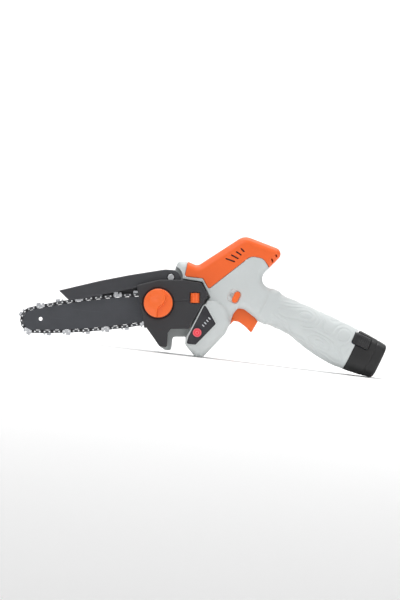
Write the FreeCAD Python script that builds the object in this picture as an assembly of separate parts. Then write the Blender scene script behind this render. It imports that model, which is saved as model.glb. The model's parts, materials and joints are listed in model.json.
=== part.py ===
"""Cordless pruning chainsaw: 6 inch bar, guard, side cover, motor, grip and slide-in battery.

Millimetres, +Z up, bar tip towards -X, tension knob side towards -Y. The saw stands as it is
put down on a bench: on the flat of its chin and the lower corner of the battery cap.
"""
import FreeCAD
import Part
import math
import os

V = FreeCAD.Vector

# ---------------------------------------------------------------- driving dimensions
WALL = 2.6                     # moulded housing wall
FIT = 0.05                     # radial running fit
GAP = 0.3                      # between pieces that move past each other

CHAIN_PITCH = 6.35             # quarter inch, half the distance between three rivets
CHAIN_LINKS = 39               # drive links
NOSE_RADIUS = 15.35            # of the rivet line round the nose
RUN_RADIUS = 825.0             # of the bowed top and bottom runs
RUN_CREST = 20.7               # highest point of a run over the bar's centre line
RUN_CREST_AT = 90.0            # where that is, from the nose centre
SPROCKET_TEETH = 7
PITCH_RADIUS = CHAIN_PITCH / 2 / math.sin(math.pi / 2 / SPROCKET_TEETH)
BAR_Y = -16.0                  # middle plane of bar and chain
BAR_THICK = 3.4
BAR_TRAVEL = 5.0               # how far the bar can be slackened
RAIL_DROP = 2.35               # from rivet line to bar edge

COVER_Y = -34.0                # outer face of the side cover
PAD_Y = -9.0                   # face of the gearbox that the cover closes on
POD_HALF = 30.0                # half width of the chin
HEAD_HALF = 24.0               # half width of head and tail
GRIP_HALF = 23.0               # half width of the grip

KNOB_AT = (-61.6, 63.5)
KNOB_RADIUS = 18.7
GUARD_AT = (-49.6, 98.8)
GUARD_RECESS = 15.4            # hollow in the head for the guard's round end
POWER_AT = (-7.1, 31.5)
WHEEL_AT = (-15.3, 75.9)
WHEEL_RADIUS = 6.1
WHEEL_TALL = 12.4
STUD_RADIUS = 4.0
NUT_TOP = -38.9                # the knob's nut and the stud end here
SHAFT_RADIUS = 4.0
MOTOR_Y = 3.0
MOTOR_RADIUS = 18.0
MOTOR_SHAFT = 2.5
CELL_RADIUS = 9.2
CELL_LENGTH = 65.0
PACK_LENGTH = 40.0             # battery cap beyond the grip
STEM_DEPTH = 48.0              # battery stem inside the grip
LATCH_REACH = 5.5              # latch pads reach this far over the grip


# ---------------------------------------------------------------- frames and helpers
class Frame:
    """A place in the XZ plane with its own direction; y is shared with the whole saw."""

    def __init__(self, x, z, slope, y=0.0):
        self.x = x
        self.z = z
        self.y = y
        self.slope = slope
        self.c = math.cos(math.radians(slope))
        self.s = math.sin(math.radians(slope))

    def point(self, u, v, y=0.0):
        return V(self.x + u * self.c - v * self.s, self.y + y, self.z + u * self.s + v * self.c)

    def flat(self, u, v):
        p = self.point(u, v)
        return (p.x, p.z)

    def place(self, shape):
        moved = shape.copy()
        turn = FreeCAD.Rotation(V(0, 1, 0), -self.slope)
        moved.Placement = FreeCAD.Placement(V(self.x, self.y, self.z), turn).multiply(moved.Placement)
        return moved


BAR = Frame(-221.4, 22.1, 12.6, BAR_Y)
GRIP = Frame(196.4, 33.25, -19.0)


def outline(points, y=0.0):
    """Closed face in the XZ plane; a third number rounds that corner."""
    corners = []
    count = len(points)
    for i, point in enumerate(points):
        here = V(point[0], y, point[1])
        radius = point[2] if len(point) > 2 else 0
        before = points[i - 1]
        after = points[(i + 1) % count]
        if not radius:
            corners.append((here, None, here))
            continue
        back = (V(before[0], y, before[1]) - here).normalize()
        ahead = (V(after[0], y, after[1]) - here).normalize()
        half = back.getAngle(ahead) / 2
        reach = radius / math.tan(half)
        middle = (back + ahead).normalize()
        centre = here + middle * (radius / math.sin(half))
        corners.append((here + back * reach, centre - middle * radius, here + ahead * reach))
    edges = []
    for i in range(count):
        start, top, end = corners[i]
        if top is not None:
            edges.append(Part.Arc(start, top, end).toShape())
        following = corners[(i + 1) % count][0]
        if (following - end).Length > 1e-6:
            edges.append(Part.makeLine(end, following))
    return Part.Face(Part.Wire(edges))


def slab(points, y0, y1):
    return outline(points, y0).extrude(V(0, y1 - y0, 0))


def inset_slab(points, inset, y0, y1):
    face = outline(points, y0).makeOffset2D(-inset)
    return face.extrude(V(0, y1 - y0, 0))


def disc(at, radius, y0, y1):
    return Part.makeCylinder(radius, y1 - y0, V(at[0], y0, at[1]), V(0, 1, 0))


def ring(at, outer, inner, y0, y1):
    return disc(at, outer, y0, y1).cut(disc(at, inner, y0, y1))


def fuse(shapes):
    first = shapes[0]
    return first.fuse(shapes[1:]).removeSplitter() if len(shapes) > 1 else first


def soften(shape, radius, y, left=-1e3, low=-1e3):
    """Round the edges of a slab that lie in the plane at this y, right of left and above low."""
    edges = []
    for edge in shape.Edges:
        span = edge.BoundBox
        middle = edge.CenterOfMass
        if abs(span.YMin - y) < 1e-4 and abs(span.YMax - y) < 1e-4 and middle.x > left and middle.z > low:
            edges.append(edge)
    return shape.makeFillet(radius, edges)


def local_slab(frame, points, y0, y1):
    return frame.place(slab(points, y0, y1))


def box(frame, u0, u1, v0, v1, y0, y1):
    return local_slab(frame, [(u0, v0), (u1, v0), (u1, v1), (u0, v1)], y0, y1)


def axial(frame, radius, u0, u1, v=0.0, y=0.0):
    """Cylinder along the frame's own direction."""
    return frame.place(Part.makeCylinder(radius, u1 - u0, V(u0, y, v), V(1, 0, 0)))


def axial_ring(frame, outer, inner, u0, u1, v=0.0, y=0.0):
    return axial(frame, outer, u0, u1, v, y).cut(axial(frame, inner, u0, u1, v, y))


def spring(radius, wire, height, turns):
    """Coil along +Z, standing on the origin, with clear space between its turns."""
    pitch = height / turns
    helix = Part.makeHelix(pitch, height, radius)
    section = Part.Wire(Part.makeCircle(wire, V(radius, 0, 0), V(0, 1, 0)))
    return Part.Wire(helix).makePipeShell([section], True, True)


def tube(points, radius):
    """Wire along straight runs joined by tangent arcs."""
    route = [V(*p) for p in points]
    edges = []
    start = route[0]
    for i in range(1, len(route) - 1):
        back = route[i - 1] - route[i]
        ahead = route[i + 1] - route[i]
        reach = 0.45 * min(back.Length, ahead.Length)
        back.normalize()
        ahead.normalize()
        half = back.getAngle(ahead) / 2
        enter = route[i] + back * reach
        leave = route[i] + ahead * reach
        bend = reach * math.tan(half)
        middle = (back + ahead).normalize()
        top = route[i] + middle * (bend / math.sin(half) - bend)
        edges.append(Part.makeLine(start, enter))
        edges.append(Part.Arc(enter, top, leave).toShape())
        start = leave
    edges.append(Part.makeLine(start, route[-1]))
    path = Part.Wire(edges)
    heading = (route[1] - route[0]).normalize()
    section = Part.Wire(Part.makeCircle(radius, route[0], heading))
    return path.makePipeShell([section], True, True)


# ---------------------------------------------------------------- chain line and drive centre
def run_height(u):
    """Height of the rivet line over the bar's centre line."""
    return RUN_CREST - (u - RUN_CREST_AT) ** 2 / (2 * RUN_RADIUS)


def chain_line(reach):
    """The closed rivet line as a wire in the bar's frame, for a sprocket this far from the nose."""
    last = reach - 26.0
    top = [V(0, 0, NOSE_RADIUS), V(last / 2, 0, run_height(last / 2)), V(last, 0, run_height(last))]
    lean = math.asin((run_height(last) - PITCH_RADIUS) / (reach - last))
    tangent = V(reach + PITCH_RADIUS * math.sin(lean), 0, PITCH_RADIUS * math.cos(lean))
    mirror = [V(p.x, 0, -p.z) for p in top]
    low_tangent = V(tangent.x, 0, -tangent.z)
    edges = [
        Part.Arc(top[2], top[1], top[0]).toShape(),
        Part.Arc(top[0], V(-NOSE_RADIUS, 0, 0), mirror[0]).toShape(),
        Part.Arc(mirror[0], mirror[1], mirror[2]).toShape(),
        Part.makeLine(mirror[2], low_tangent),
        Part.Arc(low_tangent, V(reach + PITCH_RADIUS, 0, 0), tangent).toShape(),
        Part.makeLine(tangent, top[2]),
    ]
    return Part.Wire(edges)


LOOP = CHAIN_LINKS * 2 * CHAIN_PITCH
GUESS = 200.0
REACH = GUESS + (LOOP - chain_line(GUESS).Length) / 2
SPROCKET_AT = BAR.flat(REACH, 0)
MOTOR = Frame(SPROCKET_AT[0], SPROCKET_AT[1], 41.5, MOTOR_Y)
STUD_U = (KNOB_AT[0] - BAR.x) * BAR.c + (KNOB_AT[1] - BAR.z) * BAR.s
STUD_V = -(KNOB_AT[0] - BAR.x) * BAR.s + (KNOB_AT[1] - BAR.z) * BAR.c
PIN_V = -7.0                   # tension pin below the bar's centre line
SCREW_Y = -26.0                # tension screw's plane, inside the cover

# ---------------------------------------------------------------- outlines of the housing
FRONT = [(12, 30), (-20, 24), (-38.4, 21.8, 4), (-38.4, 4.0, 2.5), (-46, 3.4, 3), (-54.5, 7.4, 3),
         (-73, 29, 4), (-75, 36, 4), (-87.5, 78, 5), (-64, 94, 6), (-59, 104, 6), (-44, 110, 3),
         (-10, 112), (12, 100)]
POD = [(-21.6, 23, 1), (-20.6, 14, 5), (-6.3, 0, 3), (3.8, 0, 4), (29.6, 34.3, 10), (34.4, 50, 6),
       (28.5, 68, 12), (14, 74.6, 12), (1.0, 74.4, 1)]
HEAD = [(-46, 111, 3), (-42.3, 121.5, 5), (-29, 121.6, 3), (-17, 118, 8), (38.8, 164.5, 17),
        (95.2, 150.4, 8.5), (60.9, 106.5, 12), (92, 96.2), (80, 54), (70.4, 56.8, 1),
        (50, 68.9, 5), (42, 69.2, 4), (37.2, 62, 3), (33, 46), (10, 50), (1, 73),
        (4.0, 79.3, 1), (-8.2, 97.6, 1.5), (-36.6, 98.6, 1)]
ORANGE = [(-31.9, 102.1, 2), (-8.2, 102.4, 3), (1.0, 89.4, 2.5), (50.5, 138.8, 13), (66.8, 137.6, 12),
          (76.8, 125.8), (100, 115), (120, 170), (20, 200), (-29.6, 130)]
PANEL = [(-1.6, 69.2, 1.5), (15.6, 45.8, 2), (-7.2, 15.9, 2.5), (-19.2, 15.6, 2), (-17.6, 25.5)]
TRIGGER = [(33.5, 43.0, 0.9), (37.8, 51.8, 4), (45.5, 51.6, 8), (55.0, 46.2, 30), (63.4, 39.2, 1.6),
           (70.4, 55.6, 3), (58.5, 70.5, 3), (41.0, 74, 3), (35.2, 60, 3)]
TRIGGER_TRAVEL = 5.0
LOCK_U = -166.3                # lock slider's centre in the grip's frame
LOCK_V = -4.5
LOCK_TRAVEL = 6.0

# grip sections: place along the grip, underside, top, half width, squareness
GRIP_SECTIONS = [(0.0, -27.7, 27.7, 24.5, 2.9), (-12.0, -29.0, 27.9, 24.2, 2.8),
                 (-30.0, -28.8, 28.0, 23.8, 2.7), (-57.0, -24.6, 27.6, 23.4, 2.6),
                 (-73.0, -20.6, 27.2, GRIP_HALF, 2.6), (-86.0, -18.5, 26.6, GRIP_HALF, 2.7),
                 (-105.0, -18.2, 25.8, GRIP_HALF, 3.0), (-126.0, -17.9, 25.5, GRIP_HALF, 3.6)]
CAP_SECTIONS = [(0.0, -27.7, 27.7, 24.5, 2.9), (20.0, -25.4, 26.8, 24.3, 3.0),
                (PACK_LENGTH, -22.4, 25.4, 22.6, 3.0)]


def section(frame, t, low, high, half, power, shrink=0.0):
    """Smooth closed curve across the grip, from round to square by its power."""
    points = []
    steps = 28
    middle = (low + high) / 2
    tall = (high - low) / 2 - shrink
    wide = half - shrink
    for k in range(steps):
        angle = 2 * math.pi * k / steps
        c = math.cos(angle)
        s = math.sin(angle)
        y = wide * math.copysign(abs(c) ** (2 / power), c)
        v = middle + tall * math.copysign(abs(s) ** (2 / power), s)
        points.append(frame.point(t, v, y))
    curve = Part.BSplineCurve()
    curve.interpolate(Points=points, PeriodicFlag=True)
    return Part.Wire(curve.toShape())


def loft(frame, sections, shrink=0.0):
    wires = [section(frame, *row, shrink) for row in sections]
    return Part.makeLoft(wires, True, False)


def half_space(side):
    """Everything on one side of the middle plane: -1 knob side, +1 far side."""
    size = 600.0
    y = 0.0 if side > 0 else -size
    return Part.makeBox(size, size, size, V(-size / 2, y, -size / 2))


# ---------------------------------------------------------------- housing
BOSSES = [(-47.0, 14.0), (0.0, 10.5), (100.0, 66.0), (118.0, 56.0), (62.0, 101.0)]
COVER_BOSSES = [(-24.0, 110.5), (68.0, 147.0)]
BOSS_RADIUS = 3.4
SCREW_RADIUS = 1.6


def head_outer():
    front = soften(slab(FRONT, PAD_Y, 22.0), 3.0, 22.0)
    pod = slab(POD, -POD_HALF, POD_HALF)
    pod = soften(soften(pod, 4.5, -POD_HALF), 4.5, POD_HALF)
    head = slab(HEAD, -HEAD_HALF, HEAD_HALF)
    for y in (-HEAD_HALF, HEAD_HALF):
        head = soften(head, 7.0, y, -26.0, 98.4)
    recess = disc(GUARD_AT, GUARD_RECESS, -POD_HALF, PAD_Y)
    return fuse([front, pod, head, loft(GRIP, GRIP_SECTIONS)]).cut(recess)


def head_inner():
    front = inset_slab(FRONT, WALL, PAD_Y + WALL, 22.0 - WALL)
    pod = inset_slab(POD, WALL, -POD_HALF + WALL, POD_HALF - WALL)
    head = inset_slab(HEAD, WALL, -HEAD_HALF + WALL, HEAD_HALF - WALL)
    longer = [(t + (4.0 if t == 0 else 0.0), *rest) for t, *rest in GRIP_SECTIONS]
    recess = disc(GUARD_AT, GUARD_RECESS + WALL, -POD_HALF, PAD_Y + WALL)
    return fuse([front, pod, head, loft(GRIP, longer, WALL)]).cut(recess)


def lock_pocket(side):
    """Shallow thumb scoop with a narrow slot through the wall."""
    u0 = LOCK_U - LOCK_TRAVEL - 4.4
    u1 = LOCK_U + 4.3
    face = side * HEAD_HALF
    inner = side * (HEAD_HALF - 1.3)
    y0, y1 = sorted((face + side, inner))
    scoop = local_slab(GRIP, [(u0, LOCK_V - 8, 3.9), (u1, LOCK_V - 8, 3.9),
                              (u1, LOCK_V + 8, 3.9), (u0, LOCK_V + 8, 3.9)], y0, y1)
    y0, y1 = sorted((face + side, face - side * 5))
    slot = box(GRIP, LOCK_U - LOCK_TRAVEL - 2.3, LOCK_U + 2.3, LOCK_V - 2.3, LOCK_V + 2.3, y0, y1)
    return scoop.fuse(slot)


def trigger_slot():
    """Room for the trigger and its whole travel between the two halves."""
    grown = outline(TRIGGER, 0).makeOffset2D(0.6)
    path = GRIP.point(0, TRIGGER_TRAVEL + 1) - GRIP.point(0, 0)
    parts = []
    for step in range(4):
        copy = grown.copy()
        copy.translate(path * (step / 3))
        copy.translate(V(0, -8.4, 0))
        parts.append(copy.extrude(V(0, 16.8, 0)))
    return fuse(parts)


def latch_window(side):
    y0, y1 = (8.0, 40.0) if side > 0 else (-40.0, -8.0)
    return box(GRIP, -LATCH_REACH - 0.5, 5.0, 7.4, 24.6, y0, y1)


def case_outline():
    """Face of the gearbox that shows through the housing's knob side."""
    s = SPROCKET_AT
    return [(s[0] + 21, s[1] - 12, 10), (s[0] + 8, s[1] - 21, 10), (s[0] - 16, s[1] - 21, 8),
            (KNOB_AT[0] - 12, KNOB_AT[1] - 10, 8), (KNOB_AT[0] - 12, KNOB_AT[1] + 11, 8),
            (GUARD_AT[0] - 7.5, GUARD_AT[1] - 2, 4), (GUARD_AT[0] - 6, GUARD_AT[1] + 7, 5),
            (GUARD_AT[0] + 7, GUARD_AT[1] + 6, 5), (GUARD_AT[0] + 9, GUARD_AT[1] - 9, 6),
            (s[0] + 12, s[1] + 20, 9), (s[0] + 21, s[1] + 12, 9)]


def boss(at, y0, y1):
    return ring(at, BOSS_RADIUS, SCREW_RADIUS + FIT, y0, y1)


def housing_parts():
    shell = head_outer().cut(head_inner())
    window = inset_slab(case_outline(), -0.4, PAD_Y - 1, PAD_Y + WALL + 1.7)
    shell = shell.cut(window)
    shell = shell.cut(inset_slab(PANEL, -0.05, -POD_HALF - 1, -POD_HALF + WALL + 1))
    for cutter in (trigger_slot(), lock_pocket(-1), lock_pocket(1), latch_window(-1), latch_window(1)):
        shell = shell.cut(cutter)
    orange = slab(ORANGE, -60, 60)
    slots = fuse(vent_slots())
    grey = shell.cut(orange)
    cover = shell.common(orange).cut(slots)
    parts = {}
    for name, side in (("left", -1), ("right", 1)):
        space = half_space(side)
        grey_half = grey.common(space)
        cover_half = cover.common(space)
        for at in BOSSES:
            depth = boss_depth(at, side)
            y0, y1 = sorted((0.0, side * depth))
            grey_half = drill(grey_half.fuse(disc(at, BOSS_RADIUS, y0, y1)), at, side, depth)
        for at in COVER_BOSSES:
            depth = HEAD_HALF - WALL / 2
            y0, y1 = sorted((0.0, side * depth))
            cover_half = drill(cover_half.fuse(disc(at, BOSS_RADIUS, y0, y1)), at, side, depth)
        parts["housing_" + name] = biggest(grey_half)
        parts["motor_cover_" + name] = biggest(cover_half)
    return parts


def boss_depth(at, side):
    """Depth of a screw boss: it ends inside the wall it grows from."""
    if at[0] < -25:
        return 22.0 - WALL / 2 if side > 0 else -PAD_Y - WALL / 2
    if at[1] < 20:
        return POD_HALF - WALL / 2
    return GRIP_HALF - WALL


def drill(shape, at, side, depth):
    """Screw hole: through with a sunk head on the far side, blind on the knob side."""
    if side < 0:
        return shape.cut(disc(at, SCREW_RADIUS + FIT, -min(depth, 12.0) + 1.5, 0.5))
    sunk = disc(at, 2.9, depth - 4.0, 60.0)
    return shape.cut(disc(at, SCREW_RADIUS + FIT, -0.5, 60.0)).cut(sunk)


def biggest(shape):
    return max(shape.Solids, key=lambda solid: solid.Volume)


def housing_screws():
    screws = []
    for at in BOSSES + COVER_BOSSES:
        depth = boss_depth(at, 1) if at in BOSSES else HEAD_HALF - WALL / 2
        near = boss_depth(at, -1) if at in BOSSES else HEAD_HALF - WALL / 2
        shank = disc(at, SCREW_RADIUS, -min(near, 12.0) + 2.0, depth - 3.9)
        head = disc(at, 2.7, depth - 3.9, depth - 1.9)
        screws.append(shank.fuse(head).cut(socket(at, 1.4, depth - 2.9, depth - 1.8)))
    return Part.makeCompound(screws)


def socket(at, radius, y0, y1):
    """Hexagon recess."""
    points = []
    for k in range(6):
        angle = math.radians(60 * k)
        points.append((at[0] + radius * math.cos(angle), at[1] + radius * math.sin(angle)))
    return slab(points, y0, y1)


def vent_slots():
    """Fan of four slots and two short ones on each flank, and four across the tail's end."""
    slots = []
    starts = [(18.0, 131.7), (24.5, 137.3), (30.5, 142.4), (36.2, 147.3), (77.5, 138.9), (82.1, 144.7)]
    ends = [(30.8, 128.9), (34.9, 133.3), (38.2, 138.3), (41.3, 143.1), (80.2, 133.3), (84.4, 141.7)]
    for start, end in zip(starts, ends):
        angle = math.degrees(math.atan2(end[1] - start[1], end[0] - start[0]))
        length = math.dist(start, end)
        frame = Frame(start[0], start[1], angle)
        shape = [(0, -0.9, 0.8), (length, -0.9, 0.8), (length, 0.9, 0.8), (0, 0.9, 0.8)]
        slots.append(local_slab(frame, shape, -HEAD_HALF - 2, -HEAD_HALF + WALL + 2))
        slots.append(local_slab(frame, shape, HEAD_HALF - WALL - 2, HEAD_HALF + 2))
    for k in range(4):
        y = -15.0 + 10.0 * k
        slots.append(box(MOTOR, 128, 150, -14.0, 10.0, y - 1.2 - MOTOR_Y, y + 1.2 - MOTOR_Y))
    return slots


# ---------------------------------------------------------------- control panel
def control_panel():
    plate = slab(PANEL, -POD_HALF - 0.4, -POD_HALF + WALL)
    plate = plate.cut(disc(POWER_AT, 5.9, -POD_HALF - 2, -POD_HALF + 4))
    for lens in light_shapes(0.05):
        plate = plate.cut(lens)
    return plate


def light_shapes(grow):
    lenses = []
    for k in range(4):
        frame = Frame(-0.4 + 2.3 * k, 41.5 + 3.4 * k, -38.0)
        half = 1.75 + grow
        tall = 0.65 + grow
        shape = [(-half, -tall, 0.6), (half, -tall, 0.6), (half, tall, 0.6), (-half, tall, 0.6)]
        lenses.append(local_slab(frame, shape, -POD_HALF - 0.55, -POD_HALF + WALL))
    return lenses


def power_button():
    cap = disc(POWER_AT, 5.6, -POD_HALF - 1.5, -POD_HALF + 3.0)
    cap = soften(cap, 0.8, -POD_HALF - 1.5)
    return cap.fuse(disc(POWER_AT, 6.8, -POD_HALF + WALL + 0.3, -POD_HALF + WALL + 1.6))


def control_board():
    board = slab([(1.2, 63.0, 1.5), (13.2, 46.0, 2), (-6.6, 19.4, 2), (-13.6, 19.4, 2), (-14.8, 27.0, 2)],
                 -22.5, -20.9)
    parts = [board, disc(POWER_AT, 1.8, -24.6, -22.5)]
    frame = Frame(2.0, 47.0, 70.0)
    parts.append(box(frame, -5, 5, -5, 3, -20.9, -18.4))
    parts.append(box(frame, -24, -17, -4, 3, -20.9, -15.5))
    parts.append(box(frame, -15, -8, -5, 5, -20.9, -19.4))
    return fuse(parts)


# ---------------------------------------------------------------- gearbox and drive
def gearbox():
    s = SPROCKET_AT
    inside = PAD_Y + WALL + GAP
    snout = fuse([axial(MOTOR, 11.5, 12.0, 38.0), axial(MOTOR, 17.0, 36.0, 38.8)])
    snout = snout.cut(Part.makeBox(400, 60, 400, V(-200, inside - 60, -200)))
    solid = fuse([disc(s, 20.0, inside, 16.0), slab(case_outline(), PAD_Y, -5.0),
                  disc(KNOB_AT, 10.0, BAR_Y + BAR_THICK / 2 + 0.1, PAD_Y + 1), snout])
    hollow = fuse([disc(s, 17.0, -5.0, 12.5), axial(MOTOR, 8.5, 8.0, 33.0),
                   disc(s, 8.0 + FIT, PAD_Y - 1, 17.0), axial(MOTOR, 6.5 + FIT, 32.0, 40.0),
                   disc(KNOB_AT, STUD_RADIUS + FIT, -15.0, -4.0),
                   disc(GUARD_AT, 2.5 + FIT, PAD_Y - 1, -4.0)])
    case = solid.cut(hollow)
    cut = Part.makeBox(400, 60, 400, V(-200, MOTOR_Y, -200))
    return case.cut(cut), case.common(cut)


def bearings():
    s = SPROCKET_AT
    return Part.makeCompound([ring(s, 8.0, SHAFT_RADIUS + FIT, PAD_Y, -5.2),
                              ring(s, 8.0, SHAFT_RADIUS + FIT, 12.5, 16.0),
                              axial_ring(MOTOR, 6.5, MOTOR_SHAFT + FIT, 33.2, 38.0),
                              axial_ring(MOTOR, 5.0, MOTOR_SHAFT + FIT, 92.0, 96.0)])


def bar_stud():
    flange = disc(KNOB_AT, 7.0, -4.9, -3.0)
    shank = disc(KNOB_AT, STUD_RADIUS, NUT_TOP + 0.2, -4.9)
    return fuse([flange, shank])


def sprocket_shaft():
    return disc(SPROCKET_AT, SHAFT_RADIUS, -22.5, 15.6)


def drive_sprocket():
    """Seven rounded teeth, held inside the tangs of the chain."""
    hub = disc(SPROCKET_AT, 6.4, -13.6, -9.6)
    points = []
    for k in range(SPROCKET_TEETH * 2):
        angle = math.pi * k / SPROCKET_TEETH
        radius = 7.5 if k % 2 == 0 else 5.8
        for offset in (-0.11, 0.11):
            x = SPROCKET_AT[0] + radius * math.cos(angle + offset)
            z = SPROCKET_AT[1] + radius * math.sin(angle + offset)
            points.append((x, z, 0.4))
    star = slab(points, -18.4, -13.6)
    return hub.fuse(star).cut(disc(SPROCKET_AT, SHAFT_RADIUS, -30, 0))


def sprocket_clip():
    washer = ring(SPROCKET_AT, 7.6, SHAFT_RADIUS, -19.6, -18.5)
    clip = ring(SPROCKET_AT, 6.2, SHAFT_RADIUS, -20.7, -19.7)
    mouth = box(Frame(SPROCKET_AT[0], SPROCKET_AT[1], 0), 0, 8, -1.6, 1.6, -21, -19.65)
    return Part.makeCompound([washer, clip.cut(mouth)])


GEAR_TEETH = 18
PINION_TEETH = 9
GEAR_OUT = 11.8
GEAR_IN = 7.2


def cone_teeth(count, inner, outer, spread, phase):
    """Teeth on a pitch cone whose tip is the origin and whose axis is +Z."""
    slant = spread                       # height of the pitch line per unit radius
    teeth = []
    for k in range(count):
        wires = []
        for radius in (inner, outer):
            width = 2 * math.pi * radius / count * 0.17
            size = radius / outer
            base = radius * slant
            corners = []
            for side, lift in ((-1.3, 1.2), (1.3, 1.2), (0.7, -0.75), (-0.7, -0.75)):
                corners.append(V(radius - lift * size * slant * 0.5, side * width, base + lift * size))
            corners.append(corners[0])
            wires.append(Part.makePolygon(corners))
        tooth = Part.makeLoft(wires, True, True)
        tooth.rotate(V(0, 0, 0), V(0, 0, 1), phase + 360.0 * k / count)
        teeth.append(tooth)
    return teeth


def bevel_gear():
    """Crown wheel on the sprocket shaft; its teeth face the motor's axis."""
    profile = [V(SHAFT_RADIUS, 0, 7.7), V(GEAR_OUT + 0.4, 0, 7.7), V(GEAR_OUT + 0.4, 0, 6.9),
               V(GEAR_IN - 0.6, 0, 4.6), V(SHAFT_RADIUS, 0, 4.6)]
    face = Part.Face(Part.makePolygon(profile + [profile[0]]))
    body = face.revolve(V(0, 0, 0), V(0, 0, 1), 360)
    teeth = cone_teeth(GEAR_TEETH, GEAR_IN, GEAR_OUT, 0.5, MOTOR.slope + 180.0 / GEAR_TEETH)
    wheel = body.fuse(teeth).cut(Part.makeCylinder(SHAFT_RADIUS, 30, V(0, 0, -5)))
    wheel.rotate(V(0, 0, 0), V(1, 0, 0), 90)
    wheel.translate(V(SPROCKET_AT[0], MOTOR_Y, SPROCKET_AT[1]))
    return wheel


def bevel_pinion():
    profile = [V(MOTOR_SHAFT, 0, 7.4), V(2.9, 0, 7.4), V(4.9, 0, 12.0), V(4.9, 0, 15.0),
               V(MOTOR_SHAFT, 0, 15.0)]
    face = Part.Face(Part.makePolygon(profile + [profile[0]]))
    body = face.revolve(V(0, 0, 0), V(0, 0, 1), 360)
    teeth = []
    for k in range(PINION_TEETH):
        wires = []
        for along in (7.6, 11.6):
            pitch = along / 2
            width = 2 * math.pi * pitch / PINION_TEETH * 0.17
            size = along / 11.6
            corners = []
            for side, lift in ((-1.3, -1.1), (1.3, -1.1), (0.7, 0.75), (-0.7, 0.75)):
                corners.append(V(pitch + lift * size, side * width, along))
            corners.append(corners[0])
            wires.append(Part.makePolygon(corners))
        tooth = Part.makeLoft(wires, True, True)
        tooth.rotate(V(0, 0, 0), V(0, 0, 1), 360.0 * k / PINION_TEETH)
        teeth.append(tooth)
    pinion = body.fuse(teeth).cut(Part.makeCylinder(MOTOR_SHAFT, 30, V(0, 0, 0)))
    pinion.rotate(V(0, 0, 0), V(0, 0, 1), -90)
    pinion.rotate(V(0, 0, 0), V(0, 1, 0), 90)
    return MOTOR.place(pinion)


# ---------------------------------------------------------------- motor
def motor_can():
    can = axial(MOTOR, MOTOR_RADIUS, 39.0, 92.0).cut(axial(MOTOR, MOTOR_RADIUS - 1.4, 41.0, 93.0))
    return can.cut(axial(MOTOR, 4.0, 38.0, 42.0))


def motor_magnets():
    sleeve = axial_ring(MOTOR, MOTOR_RADIUS - 1.45, 13.4, 46.0, 80.0)
    split = box(MOTOR, 40, 85, -4, 4, -30, 30)
    return sleeve.cut(split)


def motor_end_bell():
    bell = axial(MOTOR, MOTOR_RADIUS, 92.0, 96.0).cut(axial(MOTOR, 5.0 + FIT, 91.0, 97.0))
    for v in (-11.0, 11.0):
        bell = bell.cut(axial(MOTOR, 2.2, 91.0, 97.0, v))
    for side in (-1, 1):
        y0, y1 = sorted((side * 6.4, side * 13.0))
        arm = box(MOTOR, 83.0, 92.0, -3.4, 3.4, y0, y1)
        hole = box(MOTOR, 84.4, 89.6, -2.05, 2.05, y0 - 1, y1 + 1)
        bell = bell.fuse(arm.cut(hole))
    return bell


def motor_brushes():
    return Part.makeCompound([box(MOTOR, 84.5, 89.5, -2.0, 2.0, -11.5, -5.8),
                              box(MOTOR, 84.5, 89.5, -2.0, 2.0, 5.8, 11.5)])


def motor_shaft():
    return axial(MOTOR, MOTOR_SHAFT, 7.6, 111.0)


def armature_core():
    core = axial_ring(MOTOR, 12.7, MOTOR_SHAFT, 48.0, 76.0)
    for k in range(5):
        angle = 72.0 * k
        cut = Part.makeBox(32, 2.0, 5.5, V(46, -1.0, 8.2))
        pocket = Part.makeCylinder(3.1, 32, V(46, 0, 8.4), V(1, 0, 0))
        notch = cut.fuse(pocket)
        notch.rotate(V(0, 0, 0), V(1, 0, 0), angle)
        core = core.cut(MOTOR.place(notch))
    return core


def armature_windings():
    coils = []
    for u in (43.4, 76.2):
        turn = Part.makeTorus(6.9, 2.3, V(u + 2.3, 0, 0), V(1, 0, 0))
        coils.append(MOTOR.place(turn))
    for k in range(5):
        bar = Part.makeCylinder(2.8, 27.8, V(48.1, 0, 8.4), V(1, 0, 0))
        bar.rotate(V(0, 0, 0), V(1, 0, 0), 72.0 * k)
        coils.append(MOTOR.place(bar))
    return Part.makeCompound(coils)


def commutator():
    ring_ = axial_ring(MOTOR, 5.6, MOTOR_SHAFT, 83.0, 91.0)
    for k in range(5):
        gap = Part.makeBox(8.2, 0.5, 1.2, V(82.9, -0.25, 4.9))
        gap.rotate(V(0, 0, 0), V(1, 0, 0), 72.0 * k)
        ring_ = ring_.cut(MOTOR.place(gap))
    return ring_


def cooling_fan():
    hub = axial_ring(MOTOR, 5.0, MOTOR_SHAFT, 99.0, 108.0)
    disc_ = axial_ring(MOTOR, 16.4, 4.0, 107.0, 108.4)
    blades = []
    for k in range(9):
        blade = Part.makeBox(8.0, 1.3, 12.0, V(99.5, -0.65, 4.2))
        blade.rotate(V(103, 0, 4.2), V(0, 0, 1), 24)
        blade.rotate(V(0, 0, 0), V(1, 0, 0), 40.0 * k)
        blades.append(MOTOR.place(blade))
    return fuse([hub, disc_] + blades)


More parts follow.
